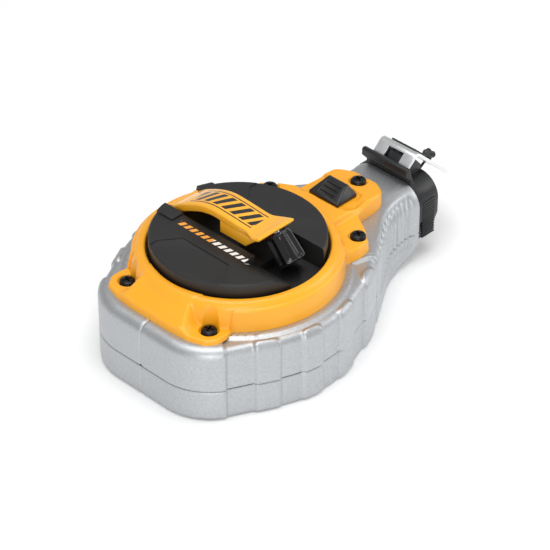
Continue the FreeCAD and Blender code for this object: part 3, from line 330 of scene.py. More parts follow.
def new_object(name, mesh):
    obj = bpy.data.objects.new(name, mesh)
    bpy.context.scene.collection.objects.link(obj)
    return obj


def piece_from(name, vertices, faces, sharp_degrees=38.0, merge_mm=0.004):
    """A piece from vertices in millimetres and faces, merged and facing outwards."""
    mesh = bpy.data.meshes.new(name)
    mesh.from_pydata([tuple(v) for v in np.asarray(vertices) * MM], [], faces)
    solid = bmesh.new()
    solid.from_mesh(mesh)
    bmesh.ops.remove_doubles(solid, verts=solid.verts, dist=merge_mm * MM)
    bmesh.ops.dissolve_degenerate(solid, edges=solid.edges, dist=merge_mm * MM)
    bmesh.ops.recalc_face_normals(solid, faces=solid.faces)
    solid.to_mesh(mesh)
    solid.free()
    shade(mesh, sharp_degrees)
    return new_object(name, mesh)


def softened(name, node, width_mm=0.35, segments=3, sharp_degrees=32.0):
    """A copy of a CAD node with its triangles merged into faces and its edges rounded."""
    mesh = frame["nodes"][node].data.copy()
    mesh.name = name
    solid = bmesh.new()
    solid.from_mesh(mesh)
    bmesh.ops.remove_doubles(solid, verts=solid.verts, dist=0.002 * MM)
    bmesh.ops.dissolve_limit(solid, angle_limit=math.radians(0.6), verts=solid.verts, edges=solid.edges)
    solid.to_mesh(mesh)
    solid.free()
    obj = round_edges(new_object(name, mesh), width_mm, segments, sharp_degrees)
    shade(obj.data, 40.0)
    return obj


# ---------------------------------------------------------------- housing shells

def smooth(value, low, high):
    """0 below low, 1 above high, smooth between; works on arrays."""
    share = np.clip((value - low) / (high - low), 0.0, 1.0)
    return share * share * (3 - 2 * share)


def soft_max(first, second, blend):
    """The larger of two distances with a rounding of the given size where they cross."""
    share = np.clip(0.5 + 0.5 * (first - second) / blend, 0.0, 1.0)
    return second * (1 - share) + first * share + blend * share * (1 - share)


def outline_corners():
    """The left half of the pear: (corner, rounding) from the middle of the tail to the end of the neck."""
    first, last = math.radians(FLANK_ANGLE), math.radians(TAIL_ANGLE)
    tail_y = (BODY_RADIUS + TAIL_REACH * math.cos(last)) / math.sin(last)
    half, middle = (last - first) / 2, (last + first) / 2
    crest = BODY_RADIUS / math.cos(half) * np.array([math.cos(middle), math.sin(middle)])
    touch = BODY_RADIUS * np.array([math.cos(first), math.sin(first)])
    hip = touch + FLANK_LEAD * np.array([math.sin(first), -math.cos(first)])
    waist = np.array([hip[0] + (hip[1] - NECK_HALF) / math.tan(math.radians(FLANK_TURN)), NECK_HALF])
    return [(np.array([-TAIL_REACH, 0.0]), 0), (np.array([-TAIL_REACH, tail_y]), TAIL_CORNER),
            (crest, BODY_RADIUS), (hip, FLANK_BLEND), (waist, NECK_BLEND),
            (np.array([NECK_END, NECK_HALF]), 0)]


def rounded_path(corners, spacing):
    """Points along an open path whose corners are rounded by tangent arcs, and their left-hand normals."""
    points, normals = [], []

    def run_to(start, end, closing=False):
        count = max(1, int(round(np.linalg.norm(end - start) / spacing)))
        way = (end - start) / max(np.linalg.norm(end - start), 1e-9)
        for k in range(count + (1 if closing else 0)):
            points.append(start + (end - start) * k / count)
            normals.append(np.array([-way[1], way[0]]))

    here = corners[0][0]
    for index in range(1, len(corners) - 1):
        corner, radius = corners[index]
        before = corners[index - 1][0] - corner
        after = corners[index + 1][0] - corner
        before, after = before / np.linalg.norm(before), after / np.linalg.norm(after)
        half = math.acos(float(np.clip(before @ after, -1, 1))) / 2
        reach = radius / math.tan(half)
        bisector = (before + after) / np.linalg.norm(before + after)
        centre = corner + bisector * radius / math.sin(half)
        start, end = corner + before * reach, corner + after * reach
        run_to(here, start)
        first = math.atan2(*(start - centre)[::-1])
        sweep = (math.atan2(*(end - centre)[::-1]) - first + math.pi) % (2 * math.pi) - math.pi
        count = max(2, int(round(abs(sweep) * radius / spacing)))
        for k in range(count):
            angle = first + sweep * k / count
            out = np.array([math.cos(angle), math.sin(angle)])
            points.append(centre + radius * out)
            normals.append(out if sweep < 0 else -out)
        here = end
    run_to(here, corners[-1][0], closing=True)
    return np.array(points), np.array(normals)


def keel_height(x):
    """The level of the underside: flat, then rising under the neck."""
    return KEEL_RISE * np.clip((x - KEEL_START) / (NECK_END - KEEL_START), 0, 1) ** 1.8


def crown_height(x):
    """The level of the top face: the deck, then swelling towards the mouth."""
    return DECK + (CROWN - DECK) * smooth(x, CROWN_START, NECK_END + 8)


RELIEF = 1.25
BANDS = ((58.0, 70.0), (81.0, 92.0), (103.5, 115.5))
TAIL_SMOOTH = 44.8
RING_CLEAR = 51.3
BAND_CLEAR = 53.6
NECK_EDGE_START, NECK_EDGE_HALF, NECK_EDGE_SLOPE = 37.5, 34.2, 0.27
WAIST_SLANT, WAIST_END = 0.46, 68.3
PLATE_SPAN, PLATE_TOP = (128.6, 143.2), 41.0
PANEL_START, PANEL_TOP, PANEL_BOTTOM, PANEL_END_GAP = 70.0, 40.0, 9.0, 2.0
RIB_PITCH = 3.0


def relief(run, level, x, y):
    """How far the cast surface stands off the outline: facets, scale-like plates and the ribbed neck panel.

    run is the distance along the outline from the tail, level the distance up the wall and over the shoulder.
    """
    y = np.abs(y)
    radius = np.hypot(x, y)
    slant = x + WAIST_SLANT * y
    beside_neck = NECK_EDGE_HALF + NECK_EDGE_SLOPE * (x - NECK_EDGE_START) - y
    top = np.where(x < NECK_EDGE_START, RING_CLEAR - radius, beside_neck)
    zone = soft_max(soft_max(TAIL_SMOOTH - run, top, 3.0), slant - WAIST_END, 7.0)
    in_zone = zone < 1.0
    height = -RELIEF * (1 - smooth(zone, -0.9, 0.7))
    for low, high in BANDS:
        band = soft_max(soft_max(low - run, run - high, 0.5), BAND_CLEAR - radius, 3.5)
        height = height + RELIEF * (1 - smooth(band, -1.0, 0.8)) * in_zone
    plate = soft_max(soft_max(PLATE_SPAN[0] - run, run - PLATE_SPAN[1], 0.5), level - PLATE_TOP, 9.0)
    height = height + RELIEF * (1 - smooth(plate, -1.0, 0.8)) * in_zone
    # a thin line runs beside the cover, from the tail's bands to the waist
    line = np.exp(-((zone - 1.5) / 0.32) ** 2) * (run > 47) * (top > -3.0) * (slant < 66)
    height = height - 0.35 * line
    edge = soft_max(level - PANEL_TOP, PANEL_START - slant, 1.6)
    edge = soft_max(edge, soft_max(x - (NECK_END - PANEL_END_GAP), PANEL_BOTTOM - level, 1.6), 2.0)
    bead = np.exp(-((edge + 0.2) / 0.9) ** 2)
    panel = 1 - smooth(edge, -3.0, -1.4)
    ribs = smooth(0.5 + 0.5 * np.cos(2 * np.pi * (slant - 74.0) / RIB_PITCH), 0.25, 0.85)
    taper = 1 - smooth(edge, -4.5, -2.0)
    height = height + 0.25 * bead - panel * (1.0 - 0.95 * ribs * taper)
    tail_groove = np.exp(-(run / 0.4) ** 2)
    return height - 0.5 * tail_groove


def shell_columns(spacing):
    """Stations along the left half of the outline with their normals, distance and section sizes."""
    points, normals = rounded_path(outline_corners(), spacing)
    run = np.r_[0, np.cumsum(np.linalg.norm(np.diff(points, axis=0), axis=1))]
    bend = SHOULDER + (NECK_SHOULDER - SHOULDER) * smooth(points[:, 0], CROWN_START, NECK_END - 4)
    return points, normals, run, bend


# the V-groove at the parting line, as (rise, inset) pairs, and how far in the last rows of the faces stand
PARTING_ROWS = ((0.0, 0.45), (0.28, 0.16), (0.6, 0.0))
DEEPEST = 20.3


def upper_rows(points, normals, run, bend):
    """Rows of the upper shell from the parting plane to the middle of the deck, for every station."""
    rows = []
    centre_x = points[:, 0] - normals[:, 0] * bend
    crown = crown_height(centre_x)
    straight = crown - bend

    def put(offset, level_z, along_wall, tilt=0.0):
        x = points[:, 0] - normals[:, 0] * offset
        y = points[:, 1] - normals[:, 1] * offset
        lift = relief(run, along_wall, x, y)
        out, up = np.cos(tilt), np.sin(tilt)
        rows.append(np.column_stack([x + normals[:, 0] * lift * out, y + normals[:, 1] * lift * out,
                                     level_z + lift * up]))

    flat = np.full(len(points), PARTING + 0.02)
    rows.append(np.column_stack([points[:, 0], 0 * flat, flat]))
    rows.append(np.column_stack([points[:, 0] - normals[:, 0] * 4, points[:, 1] - normals[:, 1] * 4, flat]))
    for rise, inset in PARTING_ROWS:
        put(inset, flat + rise, flat + rise)
    first = PARTING + 0.6
    for k in range(1, 20):
        height = first + (straight - first) * k / 19
        put(0.0, height, height)
    for k in range(1, 15):
        tilt = math.pi / 2 * k / 14
        put(bend * (1 - math.cos(tilt)), straight + bend * math.sin(tilt), straight + bend * tilt, tilt)
    for k in range(1, 17):
        offset = bend + (DEEPEST - bend) * k / 16
        x = points[:, 0] - normals[:, 0] * offset
        put(offset, crown_height(x), straight + bend * math.pi / 2 + offset - bend, math.pi / 2)
    last = rows[-1]
    rows.append(np.column_stack([last[:, 0], 0 * last[:, 1], crown_height(last[:, 0])]))
    return rows


def lower_rows(points, normals, run):
    """Rows of the lower shell from the middle of the back up to the parting plane."""
    rows = []
    floor = keel_height(points[:, 0])
    for offset in (DEEPEST, 12.0, 7.0, 4.5):
        x = points[:, 0] - normals[:, 0] * offset
        rows.append(np.column_stack([x, points[:, 1] - normals[:, 1] * offset, keel_height(x)]))
    rows.insert(0, rows[0] * [1, 0, 1])

    def put(offset, level_z, tilt=0.0):
        x = points[:, 0] - normals[:, 0] * offset
        y = points[:, 1] - normals[:, 1] * offset
        lift = relief(run, level_z, x, y)
        rows.append(np.column_stack([x + normals[:, 0] * lift * math.cos(tilt),
                                     y + normals[:, 1] * lift * math.cos(tilt), level_z]))

    for k in range(0, 7):
        tilt = math.pi / 2 * (1 - k / 6)
        put(SOLE * (1 - math.cos(tilt)), floor + SOLE * (1 - math.sin(tilt)), tilt)
    last = PARTING - 0.62
    start = floor + SOLE
    for k in range(1, 14):
        put(0.0, start + (last - start) * k / 13)
    flat = np.full(len(points), PARTING - 0.02)
    for rise, inset in reversed(PARTING_ROWS):
        put(inset, flat - rise)
    rows.append(np.column_stack([points[:, 0] - normals[:, 0] * 4, points[:, 1] - normals[:, 1] * 4, flat]))
    rows.append(np.column_stack([points[:, 0], 0 * flat, flat]))
    return rows


def mirrored_shell(name, rows, window=None):
    """A closed shell from rows of stations of its left half, with the neck's end closed.

    window is (middle level, share of the section, depth) of a recess in the neck's end.
    """
    grid = np.stack(rows)
    count, stations = grid.shape[:2]
    vertices = [grid.reshape(-1, 3), grid.reshape(-1, 3) * [1, -1, 1]]
    total = count * stations
    faces = []
    for half in (0, total):
        for r in range(count - 1):
            for c in range(stations - 1):
                a = half + r * stations + c
                b = a + stations
                faces.append((a, a + 1, b + 1, b))
    left = [r * stations + stations - 1 for r in range(count)]
    right = [total + index for index in left]
    loop = left + right[::-1]
    if window is None:
        faces.append(tuple(loop))
    else:
        middle, share, depth = window
        ring = np.concatenate(vertices)[loop]
        inner = ring.copy()
        inner[:, 1] = ring[:, 1] * share
        inner[:, 2] = middle + (ring[:, 2] - middle) * share
        back = inner - [depth, 0, 0]
        base = 2 * total
        vertices += [inner, back]
        size = len(loop)
        for k in range(size):
            after = (k + 1) % size
            faces.append((loop[k], loop[after], base + after, base + k))
            faces.append((base + k, base + after, base + size + after, base + size + k))
        faces.append(tuple(range(base + size, base + 2 * size)))
    return piece_from(name, np.concatenate(vertices), faces, sharp_degrees=50.0)


def housing():
    columns = shell_columns(0.5)
    window = ((PARTING + CROWN) / 2 + 0.5, 0.7, 24.0)
    stand_for(mirrored_shell("upper_casting", upper_rows(*columns), window), "upper_shell")
    stand_for(mirrored_shell("lower_casting", lower_rows(*columns[:3])), "lower_shell")


# ---------------------------------------------------------------- shapes shared by the smaller pieces

def wrapped(rings, size, joined=False):
    """Faces between neighbouring rings of size points each; joined adds those from the last to the first."""
    faces = []
    for row in range(rings if joined else rings - 1):
        below = (row + 1) % rings
        for k in range(size):
            after = (k + 1) % size
            faces.append((row * size + k, row * size + after, below * size + after, below * size + k))
    return faces


def capped(rings, size):
    """The faces that close the first and the last ring."""
    return [tuple(range(size)), tuple(range((rings - 1) * size, rings * size))]


def extruded(name, corners, low, high, axis=0):
    """A prism in millimetres: corners (u, v) across an axis (0 X, 1 Y, 2 Z), from low to high along it."""
    order = {0: lambda u, v, w: (w, u, v), 1: lambda u, v, w: (u, w, v), 2: lambda u, v, w: (u, v, w)}[axis]
    vertices = [order(u, v, w) for w in (low, high) for u, v in corners]
    count = len(corners)
    return piece_from(name, vertices, capped(2, count) + wrapped(2, count))


def lathe(name, profile, start, end, segments=48, flute=None):
    """A turned piece from start towards end: a profile of (distance along, radius), closed on the axis.

    flute gives how far the surface is cut in at a turn (radians) and a distance along.
    """
    start, end = Vector(start), Vector(end)
    way = (end - start).normalized()
    side = way.orthogonal().normalized()
    across = way.cross(side)
    vertices = []
    for along, radius in profile:
        for k in range(segments):
            turn = 2 * math.pi * k / segments
            wide = radius - (flute(turn, along) if flute and radius > 0 else 0.0)
            outward = side * math.cos(turn) + across * math.sin(turn)
            vertices.append(start + way * along + outward * max(wide, 0.0))
    rings = len(profile)
    return piece_from(name, vertices, wrapped(rings, segments) + capped(rings, segments))


def round_edges(obj, width_mm, segments=3, angle=30.0):
    """Rounds the edges of an object that turn more than the angle."""
    bevel = obj.modifiers.new("edge", "BEVEL")
    bevel.width = width_mm * MM
    bevel.segments = segments
    bevel.limit_method = "ANGLE"
    bevel.angle_limit = math.radians(angle)
    bake(obj)
    return obj


def bake(obj):
    """Turns an object's modifiers into plain mesh."""
    graph = bpy.context.evaluated_depsgraph_get()
    mesh = bpy.data.meshes.new_from_object(obj.evaluated_get(graph))
    obj.modifiers.clear()
    obj.data = mesh
    shade(mesh, 35.0)


def combine(base, tools, operation):
    """Joins tools to the base or cuts them from it, and removes them."""
    for tool in tools:
        change = base.modifiers.new("change", "BOOLEAN")
        change.operation = operation
        change.object = tool
        change.solver = "EXACT"
        bake(base)
        bpy.data.objects.remove(tool)
    return base


def catmull(points, steps):
    """A smooth path through points."""
    points = np.array(points, float)
    padded = np.vstack([2 * points[0] - points[1], points, 2 * points[-1] - points[-2]])
    path = []
    for k in range(1, len(padded) - 2):
        a, b, c, d = padded[k - 1:k + 3]
        for t in np.linspace(0, 1, steps, endpoint=False):
            path.append(0.5 * (2 * b + (c - a) * t + (2 * a - 5 * b + 4 * c - d) * t ** 2
                               + (3 * b - a - 3 * c + d) * t ** 3))
    return np.array(path + [points[-1]])


def islands(node):
    """The separate solids of a CAD node: (lowest corner, highest corner) in millimetres."""
    solid = bmesh.new()
    solid.from_mesh(frame["nodes"][node].data)
    bmesh.ops.remove_doubles(solid, verts=solid.verts, dist=0.002 * MM)
    left = set(solid.verts)
    boxes = []
    while left:
        grown, edge = set(), [left.pop()]
        while edge:
            vertex = edge.pop()
            grown.add(vertex)
            for link in vertex.link_edges:
                other = link.other_vert(vertex)
                if other in left:
                    left.discard(other)
                    edge.append(other)
        places = np.array([v.co for v in grown]) / MM
        boxes.append((places.min(axis=0), places.max(axis=0)))
    solid.free()
    return sorted(boxes, key=lambda pair: tuple(pair[0]))


# ---------------------------------------------------------------- cover plate

BORE, FOOT = 41.3, 47.7
RING_PROFILE = ((41.3, 50.7), (41.6, 51.2), (42.2, 51.5), (43.6, 51.5), (44.8, 51.1), (45.8, 50.0),
                (46.7, 48.6), (47.7, 45.0), (48.6, 38.4))
COVER_HALF = ((-54.2, 0.0), (-54.2, 12.0), (-53.4, 22.0), (-50.8, 30.4), (-46.4, 33.6), (-40.0, 33.6),
              (-33.0, 31.0), (33.0, 33.0), (42.0, 34.6), (49.5, 33.4), (54.2, 27.5), (60.6, 16.6),
              (64.0, 15.5), (76.0, 15.5), (80.5, 13.2), (84.0, 7.0), (84.0, 0.0))
TAIL_FLOOR, EAR_FLOOR, PLATEAU = 40.2, 44.0, 46.8
EDGE_ROUND = 1.3


def cover_reach(turn):
    """How far the cover's outline stands from the spool axis at each angle, its corners rounded."""
    fine = np.radians(np.arange(0, 360, 0.25))
    corners = np.array(COVER_HALF + tuple((x, -y) for x, y in reversed(COVER_HALF[1:-1])))
    reach = np.full(len(fine), FOOT)
    way = np.column_stack([np.cos(fine), np.sin(fine)])
    for start, end in zip(corners, np.roll(corners, -1, axis=0)):
        side = end - start
        cross = way[:, 0] * side[1] - way[:, 1] * side[0]
        cross = np.where(np.abs(cross) < 1e-9, 1e-9, cross)
        out = (start[0] * side[1] - start[1] * side[0]) / cross
        along = (start[0] * way[:, 1] - start[1] * way[:, 0]) / cross
        reach = np.where((along >= 0) & (along <= 1) & (out > 0), np.maximum(reach, out), reach)
    kernel = np.hanning(15)
    spread = np.convolve(np.r_[reach[-7:], reach, reach[:7]], kernel / kernel.sum(), mode="valid")
    return np.interp(turn % (2 * np.pi), np.r_[fine, 2 * np.pi], np.r_[spread, spread[0]])


def rounded_rectangle(x, y, middle, half, corner):
    """Signed distance to a rounded rectangle, negative inside."""
    dx = np.abs(x - middle[0]) - half[0] + corner
    dy = np.abs(y - middle[1]) - half[1] + corner
    return np.hypot(np.maximum(dx, 0), np.maximum(dy, 0)) + np.minimum(np.maximum(dx, dy), 0) - corner


def cover_height(x, y, screws):
    """The top surface of the cover."""
    radius = np.hypot(x, y)
    side = np.abs(y)
    ring = np.interp(radius, *zip(*RING_PROFILE))
    ramp = np.interp(-x, (40.0, 43.0, 46.0, 54.5), (51.2, 50.4, 48.4, TAIL_FLOOR + 0.2))
    ramp = TAIL_FLOOR + (ramp - TAIL_FLOOR) * (1 - smooth(side, 16.0, 23.0)) * (x < 0)
    screw_x, screw_y = TAIL_SCREW
    out = np.clip((screw_x - x) * 0.75 + (side - screw_y) * 0.66, 0, None)
    away = np.hypot(x - screw_x + 0.75 * out, side - screw_y - 0.66 * out)
    tail = TAIL_FLOOR + (np.maximum(ramp, TAIL_FLOOR) - TAIL_FLOOR) * smooth(away, 4.6, 11.5)
    ears = np.where(x > 25, EAR_FLOOR, 0.0)
    rise = PLATEAU * (1 - smooth(side, 14.2, 16.4)) + EAR_FLOOR * smooth(side, 14.2, 16.4)
    block = np.where(x > 25, rise - 1.2 * smooth(x, 68, 84), 0.0)
    height = soft_max(soft_max(ring, tail, 1.6), np.maximum(ears, block), 1.4)
    pocket = rounded_rectangle(x, y, POCKET_MIDDLE, POCKET_HALF, 1.6)
    for end in (-1, 1):
        scoop = np.hypot((x - POCKET_MIDDLE[0]) * 0.9, y - POCKET_MIDDLE[1] - end * (POCKET_HALF[1] + 0.5))
        height = height - 1.9 * (1 - smooth(scoop, 2.0, 7.5)) * (x > 40)
    height = np.where(x > 40, POCKET_FLOOR + (height - POCKET_FLOOR) * smooth(pocket, -0.35, 0.55), height)
    for low, high in screws:
        middle = (low[:2] + high[:2]) / 2
        seat = high[2] - HEAD_TALL
        away = np.hypot(x - middle[0], y - middle[1])
        height = np.where(away < 8, seat + np.maximum(height - seat, 0) * smooth(away, 4.0, 4.7)
                          + np.minimum(height - seat, 0) * smooth(away, 3.9, 6.5), height)
    return height


HEAD_TALL, HEAD_RADIUS = 2.4, 3.7
SCREWS = islands("cover_screws")
TAIL_SCREW = ((SCREWS[0][0][0] + SCREWS[0][1][0]) / 2, abs(SCREWS[0][0][1] + SCREWS[0][1][1]) / 2)
BUTTON_LOW, BUTTON_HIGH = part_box("clutch_button")
POCKET_MIDDLE = ((BUTTON_LOW.x + BUTTON_HIGH.x) / 2 / MM, 3.3)
POCKET_HALF = ((BUTTON_HIGH.x - BUTTON_LOW.x) / 2 / MM + 1.2, 13.0)
POCKET_FLOOR = 45.0


def cover():
    """The moulded cover as rings of points from the bore to its outline."""
    count = 1080
    turns = np.linspace(0, 2 * np.pi, count, endpoint=False)
    reach = cover_reach(turns)
    rows = []

    def ring(radius, level):
        rows.append(np.column_stack([radius * np.cos(turns), radius * np.sin(turns), level + 0 * turns]))

    flat = np.ones(count)
    ring(BORE * flat, DECK + 0.1)
    ring(BORE * flat, 45.0)
    ring(BORE * flat, RING_PROFILE[0][1] - 0.3)
    steps = 60
    for k in range(steps + 1):
        share = (k / steps) ** 1.05
        radius = BORE + (reach - EDGE_ROUND - BORE) * share
        ring(radius, cover_height(radius * np.cos(turns), radius * np.sin(turns), SCREWS))
    rim = rows[-1][:, 2]
    for k in range(1, 7):
        tilt = math.pi / 2 * k / 6
        drop = np.minimum(EDGE_ROUND, rim - DECK - 0.2) * (1 - math.cos(tilt))
        ring(reach - EDGE_ROUND * (1 - math.sin(tilt)), rim - drop)
    ring(reach + 0.4, DECK - 0.1)
    faces = wrapped(len(rows), count, joined=True)
    stand_for(piece_from("moulded_cover", np.concatenate(rows), faces, sharp_degrees=60.0), "cover_plate")


# ---------------------------------------------------------------- screws

def screw_mesh(name, radius, tall):
    """One pan head with a cross recess, its seat at the origin."""
    profile = [(-0.3, radius), (0.35, radius), (tall * 0.55, radius * 0.97), (tall * 0.8, radius * 0.84),
               (tall * 0.95, radius * 0.6), (tall, radius * 0.3), (tall, 0.0)]
    head = lathe(name, profile, (0, 0, 0), (0, 0, 1), segments=40)
    wings = []
    for turn in (0, 1):
        half = (radius * 0.56, 0.42) if turn else (0.42, radius * 0.56)
        corners = [(-half[0], -half[1]), (half[0], -half[1]), (half[0], half[1]), (-half[0], half[1])]
        wings.append(extruded("wing", corners, tall - 1.35, tall + 1, axis=2))
    return combine(head, wings, "DIFFERENCE")


def placed_copies(name, places, copy, seed, slot, spin=1.57):
    """Copies of a mesh on points, each turned at random about Z by up to spin, by Geometry Nodes."""
    carrier = bpy.data.meshes.new(name)
    carrier.from_pydata([Vector(p) * MM for p in places], [], [])
    obj = new_object(name, carrier)
    tree = bpy.data.node_groups.new(name + "_nodes", "GeometryNodeTree")
    face = tree.interface
    face.new_socket("Geometry", in_out="INPUT", socket_type="NodeSocketGeometry")
    copy_socket = face.new_socket("Copy", in_out="INPUT", socket_type="NodeSocketObject")
    seed_socket = face.new_socket("Seed", in_out="INPUT", socket_type="NodeSocketInt")
    face.new_socket("Geometry", in_out="OUTPUT", socket_type="NodeSocketGeometry")
    entry = add(tree, "NodeGroupInput")
    info = add(tree, "GeometryNodeObjectInfo", {"Object": entry.outputs["Copy"]})
    turn = add(tree, "FunctionNodeRandomValue", {"Max": (0.0, 0.0, spin), "Seed": entry.outputs["Seed"]},
               data_type="FLOAT_VECTOR")
    spread = add(tree, "GeometryNodeInstanceOnPoints",
                 {"Points": entry.outputs["Geometry"], "Instance": info.outputs["Geometry"],
                  "Rotation": turn.outputs["Value"]})
    real = add(tree, "GeometryNodeRealizeInstances", {"Geometry": spread.outputs["Instances"]})
    finish = add(tree, "GeometryNodeSetMaterial", {"Geometry": real.outputs["Geometry"],
                                                   "Material": FINISHES[slot]})
    add(tree, "NodeGroupOutput", {"Geometry": finish.outputs["Geometry"]})
    modifier = obj.modifiers.new("copies", "NODES")
    modifier.node_group = tree
    modifier[copy_socket.identifier] = copy
    modifier[seed_socket.identifier] = seed
    bake(obj)
    return obj


def screws():
    for node, seed in (("cover_screws", 3), ("shell_screws", 8)):
        places = []
        for low, high in islands(node):
            middle = (low + high) / 2
            seat = high[2] - HEAD_TALL if node == "cover_screws" else low[2] + HEAD_TALL
            places.append((middle[0], middle[1], seat))
        one = screw_mesh("one_screw", HEAD_RADIUS, HEAD_TALL)
        if node == "shell_screws":
            one.data.transform(Matrix.Rotation(math.pi, 4, "X"))
        made = placed_copies(node + "_finished", places, one, seed, "black_steel")
        bpy.data.objects.remove(one)
        stand_for(made, node)


# ---------------------------------------------------------------- crank arm and knob

ARM_TOP = ((38.5, 54.6), (36.2, 56.4), (31.1, 59.9), (24.6, 63.2), (18.2, 65.7), (11.8, 67.0), (5.6, 67.0),
           (-0.6, 66.7), (-6.8, 66.3), (-12.5, 66.2), (-16.4, 66.7), (-18.9, 67.5), (-20.2, 68.3))
ARM_THICK, LIP_THICK, ARM_ROUND = 4.3, 2.4, 1.1
HINGE_LINE, KNUCKLE_RADIUS = (36.4, 53.4), 2.9
LIP_WIDER = 2.8
KNOB_ROOT, KNOB_TILT = (7.0, -17.1, 61.4), 47.0
KNOB_LONG, KNOB_SMALL, KNOB_LARGE, KNOB_ROUND = 15.0, 6.4, 7.2, 1.8
FLUTES, FLUTE_DEPTH = 8, 1.35


def arm():
    """The arched arm with its turned-up lip, the block that carries the knob and the hinge knuckle."""
    path = catmull(ARM_TOP, 6)
    way = np.gradient(path, axis=0)
    way /= np.linalg.norm(way, axis=1)[:, None]
    under = np.column_stack([-way[:, 1], way[:, 0]])
    run = np.r_[0, np.cumsum(np.linalg.norm(np.diff(path, axis=0), axis=1))]
    total = run[-1]
    ends = 1 - smooth(run, total - 1.3, total + 0.35) * 0.75
    thick = (ARM_THICK + (LIP_THICK - ARM_THICK) * smooth(-path[:, 0], 2, 16)) * ends
    half = (ARM_HIGH.x - ARM_LOW.x) / 2 / MM
    width = half - LIP_WIDER + LIP_WIDER * smooth(-path[:, 0], 9.0, 17.5)
    vertices, corner_steps = [], 5
    for (y, z), below, deep, wide, inset in zip(path, under, thick, width, (1 - ends) * LIP_THICK / 2):
        corner = min(ARM_ROUND, deep * 0.45)
        for cx, cz, first in ((wide - corner, corner, 0), (corner - wide, corner, 90),
                              (corner - wide, deep - corner, 180), (wide - corner, deep - corner, 270)):
            for k in range(corner_steps):
                turn = math.radians(first + 90 * k / (corner_steps - 1))
                u, v = cx + corner * math.cos(turn), cz - corner * math.sin(turn)
                vertices.append((ARM_MIDDLE + u, y + below[0] * (v + inset), z + below[1] * (v + inset)))
    around = 4 * corner_steps
    faces = wrapped(len(path), around) + capped(len(path), around)
    bar = piece_from("arched_arm", vertices, faces, sharp_degrees=50.0)
    low, high = ARM_MIDDLE - half + LIP_WIDER, ARM_MIDDLE + half - LIP_WIDER
    block = extruded("block", [(6.5, 63.6), (6.5, 56.3), (-9.5, 56.3), (-16.2, 62.6), (-10.0, 62.9)],
                     low + 0.3, high - 0.3)
    hinge_y, hinge_z = HINGE_LINE
    knuckle = lathe("knuckle", [(0, KNUCKLE_RADIUS), (high - low - 0.4, KNUCKLE_RADIUS)],
                    (low + 0.2, hinge_y, hinge_z), (high - 0.2, hinge_y, hinge_z))
    web = extruded("web", [(38.9, 55.2), (38.6, 52.4), (34.4, 51.6), (33.0, 55.5), (34.0, 57.2)],
                   low + 0.25, high - 0.25)
    pieces = [round_edges(block, 0.9), knuckle, round_edges(web, 0.6)]
    stand_for(combine(bar, pieces, "UNION"), "crank_arm")


def knob():
    """The fluted crank knob, moulded with a rounded end."""
    tilt = math.radians(KNOB_TILT)
    way = Vector((0, -math.cos(tilt), -math.sin(tilt)))
    root = Vector(KNOB_ROOT)

    def flute(turn, along):
        shape = (0.5 + 0.5 * math.cos(FLUTES * turn)) ** 0.7
        fade = smooth(along, 0.2, 1.6) * (1 - smooth(along, KNOB_LONG - 2.2, KNOB_LONG - 0.4))
        return FLUTE_DEPTH * shape * float(fade)

    profile = [(0.0, 0.0), (0.0, KNOB_SMALL - 1.0), (0.3, KNOB_SMALL - 0.3), (1.0, KNOB_SMALL)]
    profile += [(along, KNOB_SMALL + (KNOB_LARGE - KNOB_SMALL) * along / KNOB_LONG)
                for along in np.linspace(2.0, KNOB_LONG - KNOB_ROUND, 10)]
    profile += [(KNOB_LONG - KNOB_ROUND * (1 - math.sin(t)), KNOB_LARGE - KNOB_ROUND * (1 - math.cos(t)))
                for t in np.linspace(0.2, math.pi / 2, 7)]
    profile += [(KNOB_LONG, 3.4), (KNOB_LONG - 0.5, 3.0), (KNOB_LONG - 0.5, 0.0)]
    stand_for(lathe("fluted_knob", profile, root, root + way, segments=144, flute=flute), "crank_knob")


# ---------------------------------------------------------------- mouth, hook and line

HOOK_BEND, HOOK_HALF, HOOK_THICK, HOOK_SLOPE = (107.0, 53.2), 11.0, 1.6, math.radians(43)
PLATE_LONG, CLAW_LONG, BEND_ROUND = 34.0, 9.0, 3.0
WINDOW_HALF = 4.6
# (distance down the plate, radius) of its two holes
EYE, NAIL_HOLE = (PLATE_LONG - 8, 2.2), (16.0, 1.6)
GRIP_RIBS_LOW, GRIP_RIBS_HIGH, GRIP_RIB_PITCH = 12.5, 31.5, 1.45
GRIP_RIB_OUT, GRIP_RIB_HALF = 0.75, 0.42
LINE_LEVEL, LINE_RADIUS, KNOT_CORD = 26.0, 0.6, 0.95


def along_hook(run, above=0.0):
    """A point (x, z) on the hook's top line: run is measured from the bend, and is negative down the claw."""
    side = 1 if run >= 0 else -1
    x = HOOK_BEND[0] + run * math.cos(HOOK_SLOPE) + side * above * math.sin(HOOK_SLOPE)
    return x, HOOK_BEND[1] - abs(run) * math.sin(HOOK_SLOPE) + above * math.cos(HOOK_SLOPE)


def bar_on_hook(name, first, last, low, high, above, below):
    """A cutter or pad on the hook between two runs of one leg and two y values."""
    corners = [along_hook(first, above), along_hook(last, above), along_hook(last, -below),
               along_hook(first, -below)]
    return extruded(name, corners, low, high, axis=1)


